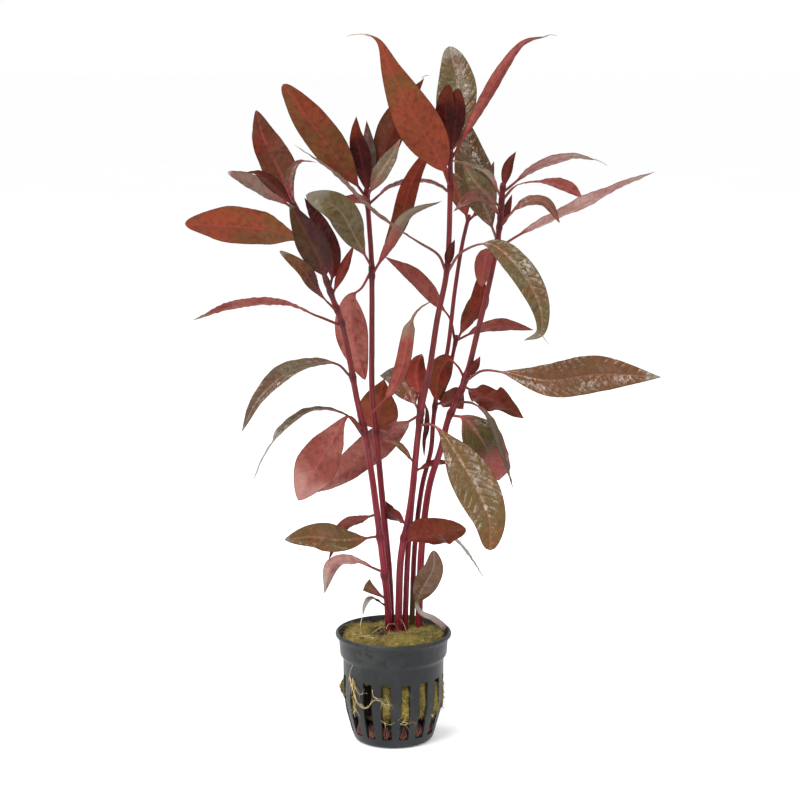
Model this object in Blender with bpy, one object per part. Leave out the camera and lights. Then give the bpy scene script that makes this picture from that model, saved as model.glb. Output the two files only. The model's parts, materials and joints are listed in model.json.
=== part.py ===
"""Potted sessile joyweed: a red aquarium stem plant rooted in rockwool in a small slotted net pot.

The scene is in metres. Every size and place below is in millimetres and goes through MM.
The origin is the centre of the pot's flat underside, +Z is up and the front is towards -Y.
"""
import math
from typing import NamedTuple

import bpy
import bmesh
from mathutils import Matrix, Vector

MM = 0.001
GAP = 0.3
UP = Vector((0.0, 0.0, 1.0))
FRONT = Vector((0.0, -1.0, 0.0))

# Net pot
POT_SIDES = 32
POT_OUTER = [(15.8, 0.0), (16.9, 0.7), (17.6, 2.4), (20.2, 12.0), (21.3, 19.0), (21.5, 35.4),
             (22.8, 37.2), (23.3, 44.4), (24.6, 45.0), (24.8, 46.0)]
POT_INNER = [(24.3, 46.9), (23.6, 47.0), (22.6, 45.2), (22.0, 43.0), (21.8, 38.4), (20.3, 36.2),
             (20.1, 19.0), (19.0, 12.0), (16.4, 2.4), (15.6, 1.5)]
POT_SMOOTH_DEG = 35
SLOT_COUNT = 16
SLOT_FIRST_DEG = -8.4
SLOT_WIDTH = 4.1
SLOT_LOW = 4.0
SLOT_HIGH = 29.0
SLOT_REACH = (14.0, 28.0)

# Rockwool plug
PLUG_SIDES = 28
PLUG_OUTLINE = [(9.0, 10.4), (15.5, 10.6), (18.2, 12.4), (19.4, 19.0), (19.7, 35.8),
                (21.3, 39.2), (21.5, 43.6), (20.4, 45.4), (14.0, 46.2), (7.0, 46.6)]
PLUG_TOP = 44.0
PLUG_RIPPLE = 0.35
PLUG_SMOOTH_DEG = 40
RIPPLE_ACROSS = 0.31
RIPPLE_DEEP = 0.37
RIPPLE_SLANT = 0.13
BULGE_WIDTH = 3.2
BULGE_NARROW = 0.8
BULGE_LOW = 13.5
BULGE_HIGH = 27.5
BULGE_ROOT = 16.5
# How far the wool stands out in each slot, slot by slot round the pot from the front one.
BULGE_REACH = [20.6, 20.9, 20.4, 21.4, 21.8, 20.8, 21.2, 20.5,
               21.0, 20.7, 21.3, 23.1, 22.6, 20.4, 20.2, 20.8]

# Smooth routes: steps between two of a route's points, and samples to look a place up in
SPLINE_STEPS = 12
STEM_LOOKUP = 60
STEM_SAMPLES = 240
LEAF_SAMPLES = 120

# Stems: how deep they sit in the plug, and the swelling where leaves grow
STEM_SIDES = 8
STEM_DEPTH = 12.0
STEM_STEP = 20.0
STEM_SMOOTH_DEG = 50
SHOOT_RINGS = 6
NODE_SWELL = 0.35
NODE_REACH = 2.6
NODE_CLEAR = 1.6
HOLE_CLEAR = 0.42
HOLE_ABOVE = 4.0

# Leaves
RIB_THICK = 1.0
TIP_THICK = 0.45
ROOT_CLEAR = 0.95
WAVE_TURNS = 3.0
FOLD_FROM = 0.25
YOUNG_RINGS = 3
BLADE_RINGS = 6
LONG_RINGS = 7
LONG_LEAF = 45.0
FIRST_RING = 0.55
LAST_RING = 0.4
LEAF_SMOOTH_DEG = 60


class Stem(NamedTuple):
    """A stem's route from its foot up, and its radius at the foot and at the top."""
    route: list
    foot_radius: float
    top_radius: float


class Leaf(NamedTuple):
    """A leaf by the height it grows at and its midrib's route from there to the tip.

    tilt is the turn of the upper face from the sky (0) to the front (90), at the base and
    at the tip; petiole is the stalk's share of the length and stalk half its width; fold is
    the angle that each half of the blade rises from flat; belly is where the blade is widest;
    taper and tip say how slender its base and its tip are, from 0.5 (round) up.
    """
    name: str
    stem: str
    height: float
    route: list
    width: float
    tilt: tuple
    petiole: float = 0.1
    fold: float = 15.0
    wave: float = 0.05
    belly: float = 0.45
    taper: float = 1.05
    tip: float = 1.05
    stalk: float = 0.6
    blunt: bool = False


STEMS = {
    "left_stem": Stem([(-2, 7, 46), (-3, 5, 63), (-7, 2, 98), (-11, -2, 128), (-15, -4, 147),
                       (-18, -5, 164), (-21, -7, 179), (-25, -9, 191), (-31, -10, 208), (-37, -10, 222),
                       (-41, -10, 230)],
                      1.6, 1.0),
    "mid_stem": Stem([(-1, 12, 46), (-2, 12, 70), (-5, 11, 104), (-7, 10, 127), (-9, 9, 149), (-9, 8, 171),
                      (-9, 7, 201), (-10, 6, 219), (-11, 5, 234)], 1.5, 1.0),
    "centre_stem": Stem([(2, 7, 46), (3, 6, 76), (6, 5, 93), (8, 3, 107), (10, 0, 129), (12, -2, 145),
                         (15, -4, 160), (18, -7, 181), (22, -10, 203), (23, -12, 231), (23, -13, 251)],
                        1.6, 1.0),
    "back_stem": Stem([(5, 10, 46), (6, 9, 75), (8, 9, 102), (10, 8, 124), (11, 6, 141), (12, 7, 150)],
                      1.3, 1.0),
    "thin_stem": Stem([(8, 14, 46), (9, 13, 78), (12, 14, 105), (16, 15, 122), (17, 15, 135), (19, 16, 150),
                       (23, 17, 165), (26, 19, 190), (29, 21, 209), (32, 22, 222)], 1.2, 0.8),
    "right_stem": Stem([(11, 12, 46), (12, 9, 79), (15, 6, 107), (20, 3, 125), (23, 1, 138), (27, 0, 147),
                        (31, -2, 159), (35, -3, 176), (39, -3, 193), (43, -3, 214), (45, -3, 237)],
                       1.6, 1.0),
}
SIDE_SHOOT = Stem([(20, 19, 143), (22, 19, 149), (24, 19, 154), (25, 19, 161), (27, 20, 171)], 0.9, 0.8)

LEAVES = [
    Leaf("left_leaf_top_red", "left_stem", 229, [(-46, 2, 240), (-53, 10, 253), (-57, 16, 266)],
         15.5, (-75, -70), fold=20, tip=0.8),
    Leaf("left_leaf_top_grey", "left_stem", 227, [(-48, -8, 232), (-58, -3, 237), (-68, 2, 241)],
         8.5, (-60, -65), tip=0.65),
    Leaf("left_leaf_big_copper", "left_stem", 204, [(-38, -7, 214), (-57, 3, 218), (-87, 12, 219)],
         17.5, (-65, -75), petiole=0.16, fold=10, belly=0.54, taper=1.2, tip=0.6),
    Leaf("left_leaf_olive_fold", "left_stem", 197, [(-31, -18, 207), (-37, -22, 219), (-41, -24, 230)],
         11, (75, 70), petiole=0.08, fold=40),
    Leaf("left_leaf_plum", "left_stem", 193, [(-25, -1, 204), (-31, 6, 219), (-37, 12, 230)],
         10.5, (-70, -75), fold=30),
    Leaf("left_leaf_brown", "left_stem", 186, [(-31, -19, 195), (-36, -27, 204), (-45, -31, 212)],
         8, (55, 70), fold=25, belly=0.58, tip=0.7),
    Leaf("left_leaf_long_thin", "left_stem", 180,
         [(-31, -9, 183), (-45, -2, 187), (-66, 8, 185), (-85, 16, 178)],
         9, (-15, -30), petiole=0.14),
    Leaf("left_leaf_olive_droop", "left_stem", 157,
         [(-25, -12, 164), (-42, -24, 162), (-54, -32, 152), (-61, -34, 139)],
         11, (25, 50), petiole=0.14),
    Leaf("left_leaf_curled_thin", "left_stem", 133,
         [(-20, -8, 142), (-33, -16, 145), (-44, -23, 139), (-52, -26, 129), (-57, -28, 118)],
         6, (15, 15), petiole=0.16, fold=25),
    Leaf("left_leaf_hanging_red", "left_stem", 136,
         [(-19, -9, 141), (-26, -16, 131), (-33, -19, 119), (-39, -20, 108)],
         18, (-70, -80), petiole=0.12, fold=12, belly=0.56, taper=0.95, tip=0.8),
    Leaf("left_leaf_pinched_pink", "left_stem", 137,
         [(-5, -11, 147), (0, -15, 154), (4, -18, 165), (7, -20, 181), (11, -22, 188), (19, -20, 192)],
         7.5, (-80, -80), petiole=0.25, fold=20, belly=0.33),
    Leaf("left_leaf_low_olive", "left_stem", 87, [(-20, -7, 88), (-33, -13, 91), (-45, -18, 91)],
         12.5, (55, 65), belly=0.5),
    Leaf("left_leaf_low_pink", "left_stem", 70, [(-16, 7, 75), (-26, 12, 72), (-30, 14, 59)],
         8, (-35, -70), fold=20),
    Leaf("mid_leaf_tall_copper", "mid_stem", 232, [(-21, -5, 245), (-34, -12, 263), (-44, -14, 277)],
         15, (-80, -80), belly=0.5, taper=0.95, tip=0.55),
    Leaf("mid_leaf_dark_red", "mid_stem", 233, [(-4, 14, 249), (2, 22, 263), (13, 28, 279)],
         12.5, (-75, -70), petiole=0.08),
    Leaf("mid_leaf_thin_arch", "mid_stem", 228,
         [(-1, 17, 234), (12, 22, 236), (21, 22, 233), (27, 19, 227)],
         6, (10, 10), petiole=0.15, fold=20),
    Leaf("mid_leaf_olive", "mid_stem", 201, [(-15, -7, 214), (-22, -14, 227), (-35, -17, 233)],
         13, (70, 80), petiole=0.12, belly=0.6, taper=1.0, tip=0.6),
    Leaf("mid_leaf_hanging_pink", "mid_stem", 198,
         [(-13, 7, 193), (-18, 8, 187), (-17, 10, 170), (-12, 12, 153)],
         14, (-85, -85), petiole=0.2, fold=12, tip=0.75),
    Leaf("mid_leaf_dark_copper", "mid_stem", 200, [(2, 12, 218), (8, 14, 237), (18, 12, 255)],
         8.5, (-65, -70)),
    Leaf("mid_leaf_purple", "mid_stem", 200, [(-1, -3, 212), (6, -7, 224), (20, -7, 230)],
         5.5, (-50, -60), fold=20),
    Leaf("mid_leaf_inner_copper", "mid_stem", 131, [(-7, 14, 135), (-6, 18, 143), (-4, 22, 152)],
         12.5, (-80, -80), petiole=0.08, fold=10),
    Leaf("centre_leaf_crown", "centre_stem", 236,
         [(18, -20, 248), (8, -27, 265), (0, -28, 281), (-5, -28, 293), (-11, -27, 297)],
         18, (-80, -85), fold=12, belly=0.33, taper=1.2, tip=1.4),
    Leaf("centre_leaf_grey_olive", "centre_stem", 249, [(25, -1, 264), (26, 7, 278), (23, 14, 292)],
         17, (80, 80), petiole=0.06, belly=0.5, taper=0.85, tip=0.55),
    Leaf("centre_leaf_pink_lance", "centre_stem", 249,
         [(34, -15, 266), (44, -14, 283), (52, -12, 293), (62, -10, 296)],
         5.5, (-55, -60), fold=20),
    Leaf("centre_leaf_edge_on", "centre_stem", 203,
         [(18, -15, 209), (9, -18, 215), (-8, -24, 227), (-24, -29, 243), (-39, -31, 254)],
         9, (5, -10), petiole=0.25),
    Leaf("centre_leaf_olive_hook", "centre_stem", 203,
         [(28, -15, 210), (39, -26, 214), (50, -38, 205), (57, -44, 193), (58, -47, 182), (51, -46, 178)],
         13, (55, 75), petiole=0.28, fold=10, belly=0.42),
    Leaf("centre_leaf_gold_droop", "centre_stem", 138,
         [(18, -12, 137), (28, -25, 125), (38, -38, 107), (39, -44, 93)],
         20.5, (70, 75), fold=12, belly=0.5, taper=1.15, tip=0.5),
    Leaf("centre_leaf_low_pink", "centre_stem", 141,
         [(1, 14, 131), (-14, 23, 117), (-28, 24, 106), (-38, 20, 102)],
         15, (-70, -80), petiole=0.12),
    Leaf("centre_leaf_low_copper", "centre_stem", 86, [(12, -4, 89), (20, -13, 93), (30, -19, 96)],
         17.5, (-65, -70), petiole=0.08, fold=10, tip=0.6),
    Leaf("back_leaf_grey_green", "back_stem", 142, [(5, 14, 150), (1, 20, 153), (-6, 24, 153)],
         10, (70, 70)),
    Leaf("back_leaf_brown", "back_stem", 146, [(10, 12, 153), (10, 14, 158), (12, 14, 164)],
         8, (-75, -75), fold=30),
    Leaf("thin_leaf_orange", "thin_stem", 141, [(23, 18, 143), (26, 20, 143), (30, 20, 139)],
         10, (-60, -60)),
    Leaf("right_leaf_tall_olive", "right_stem", 213, [(38, 6, 226), (33, 16, 242), (30, 24, 264)],
         16.5, (80, 80)),
    Leaf("right_leaf_brown", "right_stem", 227, [(39, -8, 232), (33, -12, 238), (28, -13, 246)],
         9, (60, 70)),
    Leaf("right_leaf_grey_arch", "right_stem", 223, [(37, -17, 231), (31, -22, 232), (24, -25, 227)],
         8.5, (35, 50)),
    Leaf("right_leaf_pink_upper", "right_stem", 235, [(57, -9, 243), (71, -13, 248), (82, -15, 247)],
         5.5, (-40, -50), petiole=0.14),
    Leaf("right_leaf_red_arch", "right_stem", 230,
         [(52, 6, 236), (65, 16, 236), (74, 22, 233), (80, 24, 229)],
         8, (20, -60), petiole=0.14, belly=0.68),
    Leaf("right_leaf_long_pink", "right_stem", 212,
         [(54, -11, 218), (73, -19, 228), (90, -24, 237), (104, -26, 243)],
         7.5, (-35, -40), petiole=0.14),
    Leaf("right_leaf_brown_arch", "right_stem", 219, [(52, -14, 229), (61, -18, 230), (67, -20, 222)],
         6.5, (35, 45), petiole=0.14),
    Leaf("right_leaf_hanging_pink", "right_stem", 210, [(39, 6, 208), (38, 12, 201), (37, 16, 192)],
         8.5, (-80, -80), petiole=0.15, belly=0.55, tip=0.7),
    Leaf("right_leaf_big_brown", "right_stem", 157,
         [(37, -7, 160), (46, -12, 160), (64, -20, 158), (83, -29, 162), (107, -36, 162)],
         16.5, (60, 75), petiole=0.2, fold=12, belly=0.5),
    Leaf("right_leaf_wavy_red", "right_stem", 151, [(37, 8, 147), (46, 16, 142), (56, 20, 135)],
         12.5, (-70, -70), petiole=0.08, wave=0.14),
    Leaf("right_leaf_edge_strip", "right_stem", 147,
         [(34, -8, 146), (40, -13, 140), (45, -15, 126), (50, -15, 111)],
         8, (8, 12), petiole=0.15),
    Leaf("right_leaf_dark_olive", "right_stem", 141,
         [(30, -3, 139), (36, -6, 132), (41, -4, 123), (47, 2, 114)],
         18, (70, 70), petiole=0.08),
    Leaf("right_leaf_maroon_droop", "right_stem", 155,
         [(27, 4, 160), (23, 8, 162), (19, 9, 155), (18, 8, 144)],
         9.5, (-60, -80), petiole=0.3, fold=20),
    Leaf("right_leaf_low_thin", "right_stem", 86, [(21, 2, 89), (29, -6, 85), (39, -9, 71)],
         6, (0, 5), petiole=0.2),
    Leaf("side_leaf_dark_red", "side_shoot", 168, [(32, 27, 177), (37, 31, 184), (37, 32, 195)],
         9.5, (-70, -70), fold=20, belly=0.55, tip=0.7),
    Leaf("side_leaf_copper", "side_shoot", 169, [(37, 17, 174), (47, 20, 175), (60, 22, 173)],
         7.5, (-55, -60), petiole=0.14),
    Leaf("side_leaf_pink", "side_shoot", 169, [(24, 22, 178), (18, 26, 185), (9, 28, 195), (-4, 28, 204)],
         8, (-55, -70), petiole=0.26),
]

POT_LEAF = Leaf("pot_leaf", "", 0,
                [(21, 6, 47), (17, 5, 50.5), (12, 3, 53.5), (10, 0.5, 58), (11.5, -2, 64), (14.5, -4, 70),
                 (17, -5.5, 76), (17, -6, 83.5)],
                10.5, (60, 70), petiole=0.4, belly=0.52, tip=0.6, stalk=1.3)

# Young leaves and buds, grown on to their stem as one piece with it.
YOUNG_LEAVES = [
    Leaf("left_young_dark", "left_stem", 227, [(-47, -18, 236), (-53, -26, 242), (-58, -30, 243)],
         6, (-60, -60)),
    Leaf("left_young_pink", "left_stem", 228, [(-42, -5, 238), (-39, 2, 245), (-31, 6, 245)], 4, (20, 20)),
    Leaf("left_young_red", "left_stem", 190, [(-23, -8, 196), (-19, -6, 205), (-16, -4, 212)],
         4.5, (-60, -60)),
    Leaf("left_young_torn", "left_stem", 60, [(-9, 2, 64), (-12, 0, 67)], 6, (60, 60), blunt=True),
    Leaf("left_young_curl", "left_stem", 57, [(-9, 0, 61), (-12, -4, 59), (-13, -7, 55)], 3, (20, 20)),
    Leaf("left_young_back", "left_stem", 97, [(-14, 10, 93), (-22, 14, 88), (-28, 14, 74)], 6, (-60, -60)),
    Leaf("mid_young_grey", "mid_stem", 231, [(-10, 9, 246), (-11, 12, 262)], 6.5, (-80, -80)),
    Leaf("mid_young_black", "mid_stem", 231, [(-13, 0, 246), (-15, -2, 256), (-15, -2, 264)],
         9.5, (-80, -80), fold=30),
    Leaf("mid_young_olive", "mid_stem", 231, [(-5, -1, 241), (0, -3, 249), (3, -4, 255)], 7.5, (60, 60)),
    Leaf("mid_young_pink", "mid_stem", 229, [(-15, -3, 230), (-20, -6, 232)], 7, (-50, -50)),
    Leaf("centre_young_dark", "centre_stem", 249, [(20, -16, 264), (21, -16, 277)], 6, (-80, -80), fold=25),
    Leaf("centre_young_plum", "centre_stem", 247, [(26, -17, 263), (27, -17, 275)], 6, (-80, -80), fold=25),
    Leaf("centre_young_bud", "centre_stem", 203, [(23, -13, 209), (25, -14, 215)], 4, (-70, -70)),
    Leaf("centre_young_twist", "centre_stem", 118, [(2, -5, 128), (-4, -8, 131)], 4.5, (40, 40)),
    Leaf("centre_young_brown", "centre_stem", 114, [(17, 7, 118), (26, 9, 118)], 4, (-60, -60)),
    Leaf("centre_young_low", "centre_stem", 91, [(2, 9, 94), (-2, 14, 95), (-5, 16, 101)], 8, (-70, -70)),
    Leaf("thin_young_left", "thin_stem", 220, [(30, 26, 225), (26, 32, 234), (22, 36, 242)], 8, (-70, -70)),
    Leaf("thin_young_right", "thin_stem", 220, [(37, 26, 225), (40, 32, 234), (43, 36, 244)],
         7, (-70, -70)),
    Leaf("right_young_thin", "right_stem", 231, [(39, 2, 240), (30, 8, 244), (19, 12, 246)], 5, (10, 10)),
    Leaf("right_young_tip", "right_stem", 235, [(47, -4, 244), (50, -5, 250)], 4.5, (-70, -70)),
    Leaf("right_young_front", "right_stem", 217, [(47, 2, 226), (49, 4, 232)], 4, (-70, -70)),
    Leaf("right_young_dark", "right_stem", 157, [(34, -5, 162), (36, -6, 166)], 4.5, (-70, -70)),
]

# Colour and roughness of each material
FINISHES = {
    "pot_plastic": ((0.026, 0.028, 0.030), 0.42),
    "rockwool": ((0.150, 0.115, 0.035), 0.9),
    "stem": ((0.150, 0.018, 0.025), 0.4),
    "leaf_olive": ((0.110, 0.062, 0.018), 0.3),
    "leaf_copper": ((0.180, 0.036, 0.012), 0.5),
    "leaf_dark": ((0.050, 0.007, 0.005), 0.45),
    "leaf_pink": ((0.260, 0.065, 0.050), 0.5),
    "leaf_grey": ((0.150, 0.100, 0.070), 0.4),
}
WORD_FINISH = {
    "olive": "leaf_olive", "gold": "leaf_olive", "brown": "leaf_olive", "hook": "leaf_olive",
    "copper": "leaf_copper", "red": "leaf_copper", "crown": "leaf_copper", "orange": "leaf_copper",
    "dark": "leaf_dark", "plum": "leaf_dark", "maroon": "leaf_dark",
    "pink": "leaf_pink", "purple": "leaf_pink", "lance": "leaf_pink",
}


def clear_scene():
    """Remove whatever the scene starts with."""
    for old in list(bpy.data.objects):
        bpy.data.objects.remove(old)


def make_material(name):
    """A Principled material from the table of finishes."""
    if name in bpy.data.materials:
        return bpy.data.materials[name]
    colour, roughness = FINISHES[name]
    material = bpy.data.materials.new(name)
    material.use_nodes = True
    shader = material.node_tree.nodes["Principled BSDF"]
    shader.inputs["Base Color"].default_value = (*colour, 1.0)
    shader.inputs["Roughness"].default_value = roughness
    shader.inputs["Metallic"].default_value = 0.0
    return material


def add_object(name, mesh, material, smooth_angle=None):
    """Put a mesh made in millimetres into the scene, in metres."""
    mesh.transform(Matrix.Scale(MM, 4))
    body = bpy.data.objects.new(name, mesh)
    bpy.context.scene.collection.objects.link(body)
    mesh.materials.append(make_material(material))
    if smooth_angle is not None:
        mesh.shade_smooth()
        mesh.set_sharp_from_angle(angle=math.radians(smooth_angle))
    return body


def mesh_from(name, points, faces):
    """A mesh from its points and its faces, which all point outwards."""
    shape = bmesh.new()
    corners = [shape.verts.new(p) for p in points]
    for face in faces:
        shape.faces.new([corners[i] for i in face])
    mesh = bpy.data.meshes.new(name)
    shape.to_mesh(mesh)
    shape.free()
    return mesh


def hide_helper(helper):
    """Mark a cutter or an operand as one that isn't part of the object."""
    helper.hide_render = True
    helper.display_type = "WIRE"
    return helper


def combine(body, helper, operation):
    """Add a Boolean with the helper to the body."""
    cut = body.modifiers.new(operation.lower(), "BOOLEAN")
    cut.operation = operation
    cut.solver = "EXACT"
    cut.object = hide_helper(helper)


def smooth_route(points, count):
    """Points at even distances along a smooth curve through the route's own points."""
    knots = [Vector(p) for p in points]
    ends = [knots[0] * 2 - knots[1]] + knots + [knots[-1] * 2 - knots[-2]]
    dense = []
    for a, b, c, d in zip(ends, ends[1:], ends[2:], ends[3:]):
        for step in range(SPLINE_STEPS):
            t = step / SPLINE_STEPS
            dense.append(0.5 * (2 * b + (c - a) * t + (2 * a - 5 * b + 4 * c - d) * t ** 2
                                + (3 * b - a - 3 * c + d) * t ** 3))
    dense.append(knots[-1])
    reach = [0.0]
    for a, b in zip(dense, dense[1:]):
        reach.append(reach[-1] + (b - a).length)
    even = []
    at = 0
    for step in range(count):
        goal = reach[-1] * step / (count - 1)
        while at < len(reach) - 2 and reach[at + 1] < goal:
            at += 1
        share = (goal - reach[at]) / max(reach[at + 1] - reach[at], 1e-9)
        even.append(dense[at].lerp(dense[at + 1], min(share, 1.0)))
    return even


def route_length(points):
    """The length of the straight runs through the points."""
    return sum((Vector(b) - Vector(a)).length for a, b in zip(points, points[1:]))


def directions(points):
    """The curve's direction at each of its points."""
    last = len(points) - 1
    return [(points[min(i + 1, last)] - points[max(i - 1, 0)]).normalized() for i in range(last + 1)]


def tube_mesh(name, points, radii, sides):
    """A round tube through the points, closed at both ends."""
    rings = []
    for point, along, radius in zip(points, directions(points), radii):
        side = along.cross(FRONT).normalized()
        other = side.cross(along)
        turn = [2 * math.pi * k / sides for k in range(sides)]
        rings += [point + (side * math.cos(a) + other * math.sin(a)) * radius for a in turn]
    faces = []
    for ring in range(len(points) - 1):
        for k in range(sides):
            a, b = ring * sides + k, ring * sides + (k + 1) % sides
            faces.append((b, a, a + sides, b + sides))
    faces.append(tuple(range(sides)))
    faces.append(tuple(reversed(range((len(points) - 1) * sides, len(points) * sides))))
    return mesh_from(name, rings, faces)


def stem_curve(stem):
    """The stem's centre line from inside the plug to its top."""
    foot = Vector(stem.route[0])
    start = foot - (Vector(stem.route[1]) - foot).normalized() * STEM_DEPTH
    route = [start] + stem.route
    return smooth_route(route, int(route_length(route) / STEM_STEP) + 2)


def stem_radius(stem, share):
    """The stem's radius at a share of its length."""
    return stem.foot_radius + (stem.top_radius - stem.foot_radius) * share


def stem_at(stem, height):
    """The point of the stem at a height, its direction there and its radius."""
    points = smooth_route(stem.route, STEM_LOOKUP)
    along = directions(points)
    nearest = min(range(STEM_LOOKUP), key=lambda i: abs(points[i].z - height))
    return points[nearest], along[nearest], stem_radius(stem, nearest / (STEM_LOOKUP - 1))


def node_heights(stem_name):
    """The heights where leaves grow on a stem."""
    return sorted({leaf.height for leaf in LEAVES if leaf.stem == stem_name})


def swollen_nodes(points, heights):
    """The heights within the stem that get a swelling, each clear of the one below it."""
    chosen = []
    for height in heights:
        if points[0].z + NODE_REACH < height < points[-1].z - NODE_REACH:
            if all(abs(height - other) > 2 * NODE_REACH for other in chosen):
                chosen.append(height)
    return chosen


def stem_rings(points, nodes):
    """The places of the stem's rings: along its route, and three at each swelling."""
    dense = smooth_route([tuple(p) for p in points], STEM_SAMPLES)
    kept = [p for p in points if all(abs(p.z - h) > NODE_CLEAR * NODE_REACH for h in nodes)]
    for height in nodes:
        for offset in (-NODE_REACH, 0.0, NODE_REACH):
            kept.append(min(dense, key=lambda p: abs(p.z - height - offset)))
    return sorted(kept, key=lambda p: p.z)


def make_stem(name, stem, rooted=True):
    """A stem, swollen where its leaves grow, with its young leaves joined on."""
    points = stem_curve(stem) if rooted else smooth_route(stem.route, SHOOT_RINGS)
    nodes = swollen_nodes(points, node_heights(name))
    kept = stem_rings(points, nodes)
    low, high = kept[0].z, kept[-1].z
    radii = []
    for p in kept:
        swell = max([1 - abs(p.z - h) / NODE_REACH for h in nodes] + [0.0])
        radii.append(stem_radius(stem, (p.z - low) / (high - low)) * (1 + NODE_SWELL * swell))
    body = add_object(name, tube_mesh(name, kept, radii, STEM_SIDES), "stem", STEM_SMOOTH_DEG)
    for leaf in YOUNG_LEAVES:
        if leaf.stem == name:
            centre, _, _ = stem_at(stem, leaf.height)
            young = add_object(leaf.name, leaf_mesh(leaf, [centre] + leaf.route, YOUNG_RINGS), "leaf_dark")
            combine(body, young, "UNION")


def blade_width(leaf, share):
    """Half the leaf's width at a share of its length, in millimetres."""
    along = (share - leaf.petiole) / (1 - leaf.petiole)
    if along <= 0:
        return 0.0
    if leaf.blunt:
        return along * leaf.width / 2
    swell = math.sin(math.pi * along ** (math.log(0.5) / math.log(leaf.belly)))
    return max(swell, 0.0) ** (leaf.taper + (leaf.tip - leaf.taper) * along) * leaf.width / 2


def leaf_face(along, tilt):
    """The direction of the upper face: from the sky towards the front by the tilt."""
    goal = UP * math.cos(math.radians(tilt)) + FRONT * math.sin(math.radians(tilt))
    return (goal - along * goal.dot(along)).normalized()


def leaf_mesh(leaf, route, blade_rings):
    """A lance-shaped leaf: a stalk and a blade folded along its midrib, closed, thin at the margins."""
    blade = 1 - leaf.petiole
    shares = [0.0, leaf.petiole]
    shares += [leaf.petiole + blade * (k + FIRST_RING) / (blade_rings + LAST_RING)
               for k in range(blade_rings)]
    dense = smooth_route(route, LEAF_SAMPLES + 1)
    along = directions(dense)
    points = []
    for share in shares:
        at = round(share * LEAF_SAMPLES)
        face = leaf_face(along[at], leaf.tilt[0] + (leaf.tilt[1] - leaf.tilt[0]) * share)
        side = along[at].cross(face)
        half = max(leaf.stalk * (1 - share), blade_width(leaf, share))
        thick = RIB_THICK + (TIP_THICK - RIB_THICK) * share
        fold = math.radians(leaf.fold) * min(1.0, half / leaf.width / FOLD_FROM)
        ripple = leaf.wave * half * 2 * math.sin(2 * math.pi * WAVE_TURNS * share)
        rise = half * math.sin(fold)
        spread = half * math.cos(fold)
        points += [dense[at] - side * spread + face * (rise + ripple), dense[at] + face * thick / 2,
                   dense[at] + side * spread + face * (rise - ripple), dense[at] - face * thick / 2]
    points.append(dense[-1])
    rings = len(shares)
    faces = [(0, 2, 1), (0, 3, 2)]
    for ring in reversed(range(rings - 1)):
        for k in range(4):
            a, b = ring * 4 + k, ring * 4 + (k + 1) % 4
            if k % 2 == 0:
                faces += [(a, b, b + 4), (a, b + 4, a + 4)]
            else:
                faces += [(a, b, a + 4), (b, b + 4, a + 4)]
    last = (rings - 1) * 4
    if leaf.blunt:
        points.pop()
        faces += [(last, last + 1, last + 2), (last, last + 2, last + 3)]
    else:
        faces += [(last + k, last + (k + 1) % 4, rings * 4) for k in range(4)]
    return mesh_from(leaf.name, points, faces)


def leaf_finish(name):
    """The material that a leaf's name calls for."""
    words = name.split("_")
    return next((WORD_FINISH[word] for word in reversed(words) if word in WORD_FINISH), "leaf_grey")


def make_leaf(leaf, stem):
    """A grown leaf, its root clear of the stem's skin by a gap."""
    centre, upward, radius = stem_at(stem, leaf.height)
    out = Vector(leaf.route[0]) - centre
    out -= upward * out.dot(upward)
    root = centre + out.normalized() * (radius * (1 + NODE_SWELL) + GAP + ROOT_CLEAR)
    route = [root] + leaf.route
    rings = LONG_RINGS if route_length(route) > LONG_LEAF else BLADE_RINGS
    add_object(leaf.name, leaf_mesh(leaf, route, rings), leaf_finish(leaf.name), LEAF_SMOOTH_DEG)


def turned_mesh(name, outline, sides):
    """A solid turned from an outline of radius and height whose two ends are closed flat."""
    rings = []
    for radius, height in outline:
        for k in range(sides):
            angle = 2 * math.pi * k / sides
            rings.append(Vector((radius * math.cos(angle), radius * math.sin(angle), height)))
    faces = [tuple(reversed(range(sides)))]
    faces.append(tuple(range((len(outline) - 1) * sides, len(outline) * sides)))
    for ring in range(len(outline) - 1):
        for k in range(sides):
            a, b = ring * sides + k, ring * sides + (k + 1) % sides
            faces.append((a, b, b + sides, a + sides))
    return mesh_from(name, rings, faces)


def box_points(low, high, half_low, half_high, bottom, top):
    """The eight corners of a wedge from one radius to another, along -Y."""
    return [Vector((x, -r, z)) for r, half in ((low, half_low), (high, half_high))
            for x in (-half, half) for z in (bottom, top)]


BOX_FACES = [(0, 1, 3, 2), (4, 6, 7, 5), (0, 2, 6, 4), (1, 5, 7, 3), (0, 4, 5, 1), (2, 3, 7, 6)]


def slot_turn(index):
    """The turn about the pot's axis that brings a box at the front to a slot."""
    return Matrix.Rotation(math.radians(SLOT_FIRST_DEG + index * 360 / SLOT_COUNT), 3, "Z")


def make_pot():
    """The net pot: a turned cup with a stepped collar and a rolled lip, slotted all round."""
    pot = add_object("net_pot", turned_mesh("net_pot", POT_OUTER + POT_INNER, POT_SIDES), "pot_plastic",
                     POT_SMOOTH_DEG)
    points, faces = [], []
    half = SLOT_WIDTH / 2
    for index in range(SLOT_COUNT):
        turn = slot_turn(index)
        faces += [tuple(k + len(points) for k in face) for face in BOX_FACES]
        points += [turn @ p for p in box_points(*SLOT_REACH, half, half, SLOT_LOW, SLOT_HIGH)]
    cutter = add_object("slot_cutter", mesh_from("slot_cutter", points, faces), "pot_plastic")
    combine(pot, cutter, "DIFFERENCE")


def plug_top(x, y):
    """A small unevenness of the wool's skin."""
    return PLUG_RIPPLE * (math.sin(x * RIPPLE_ACROSS + 1.0) + math.sin(y * RIPPLE_DEEP + x * RIPPLE_SLANT))


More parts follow.
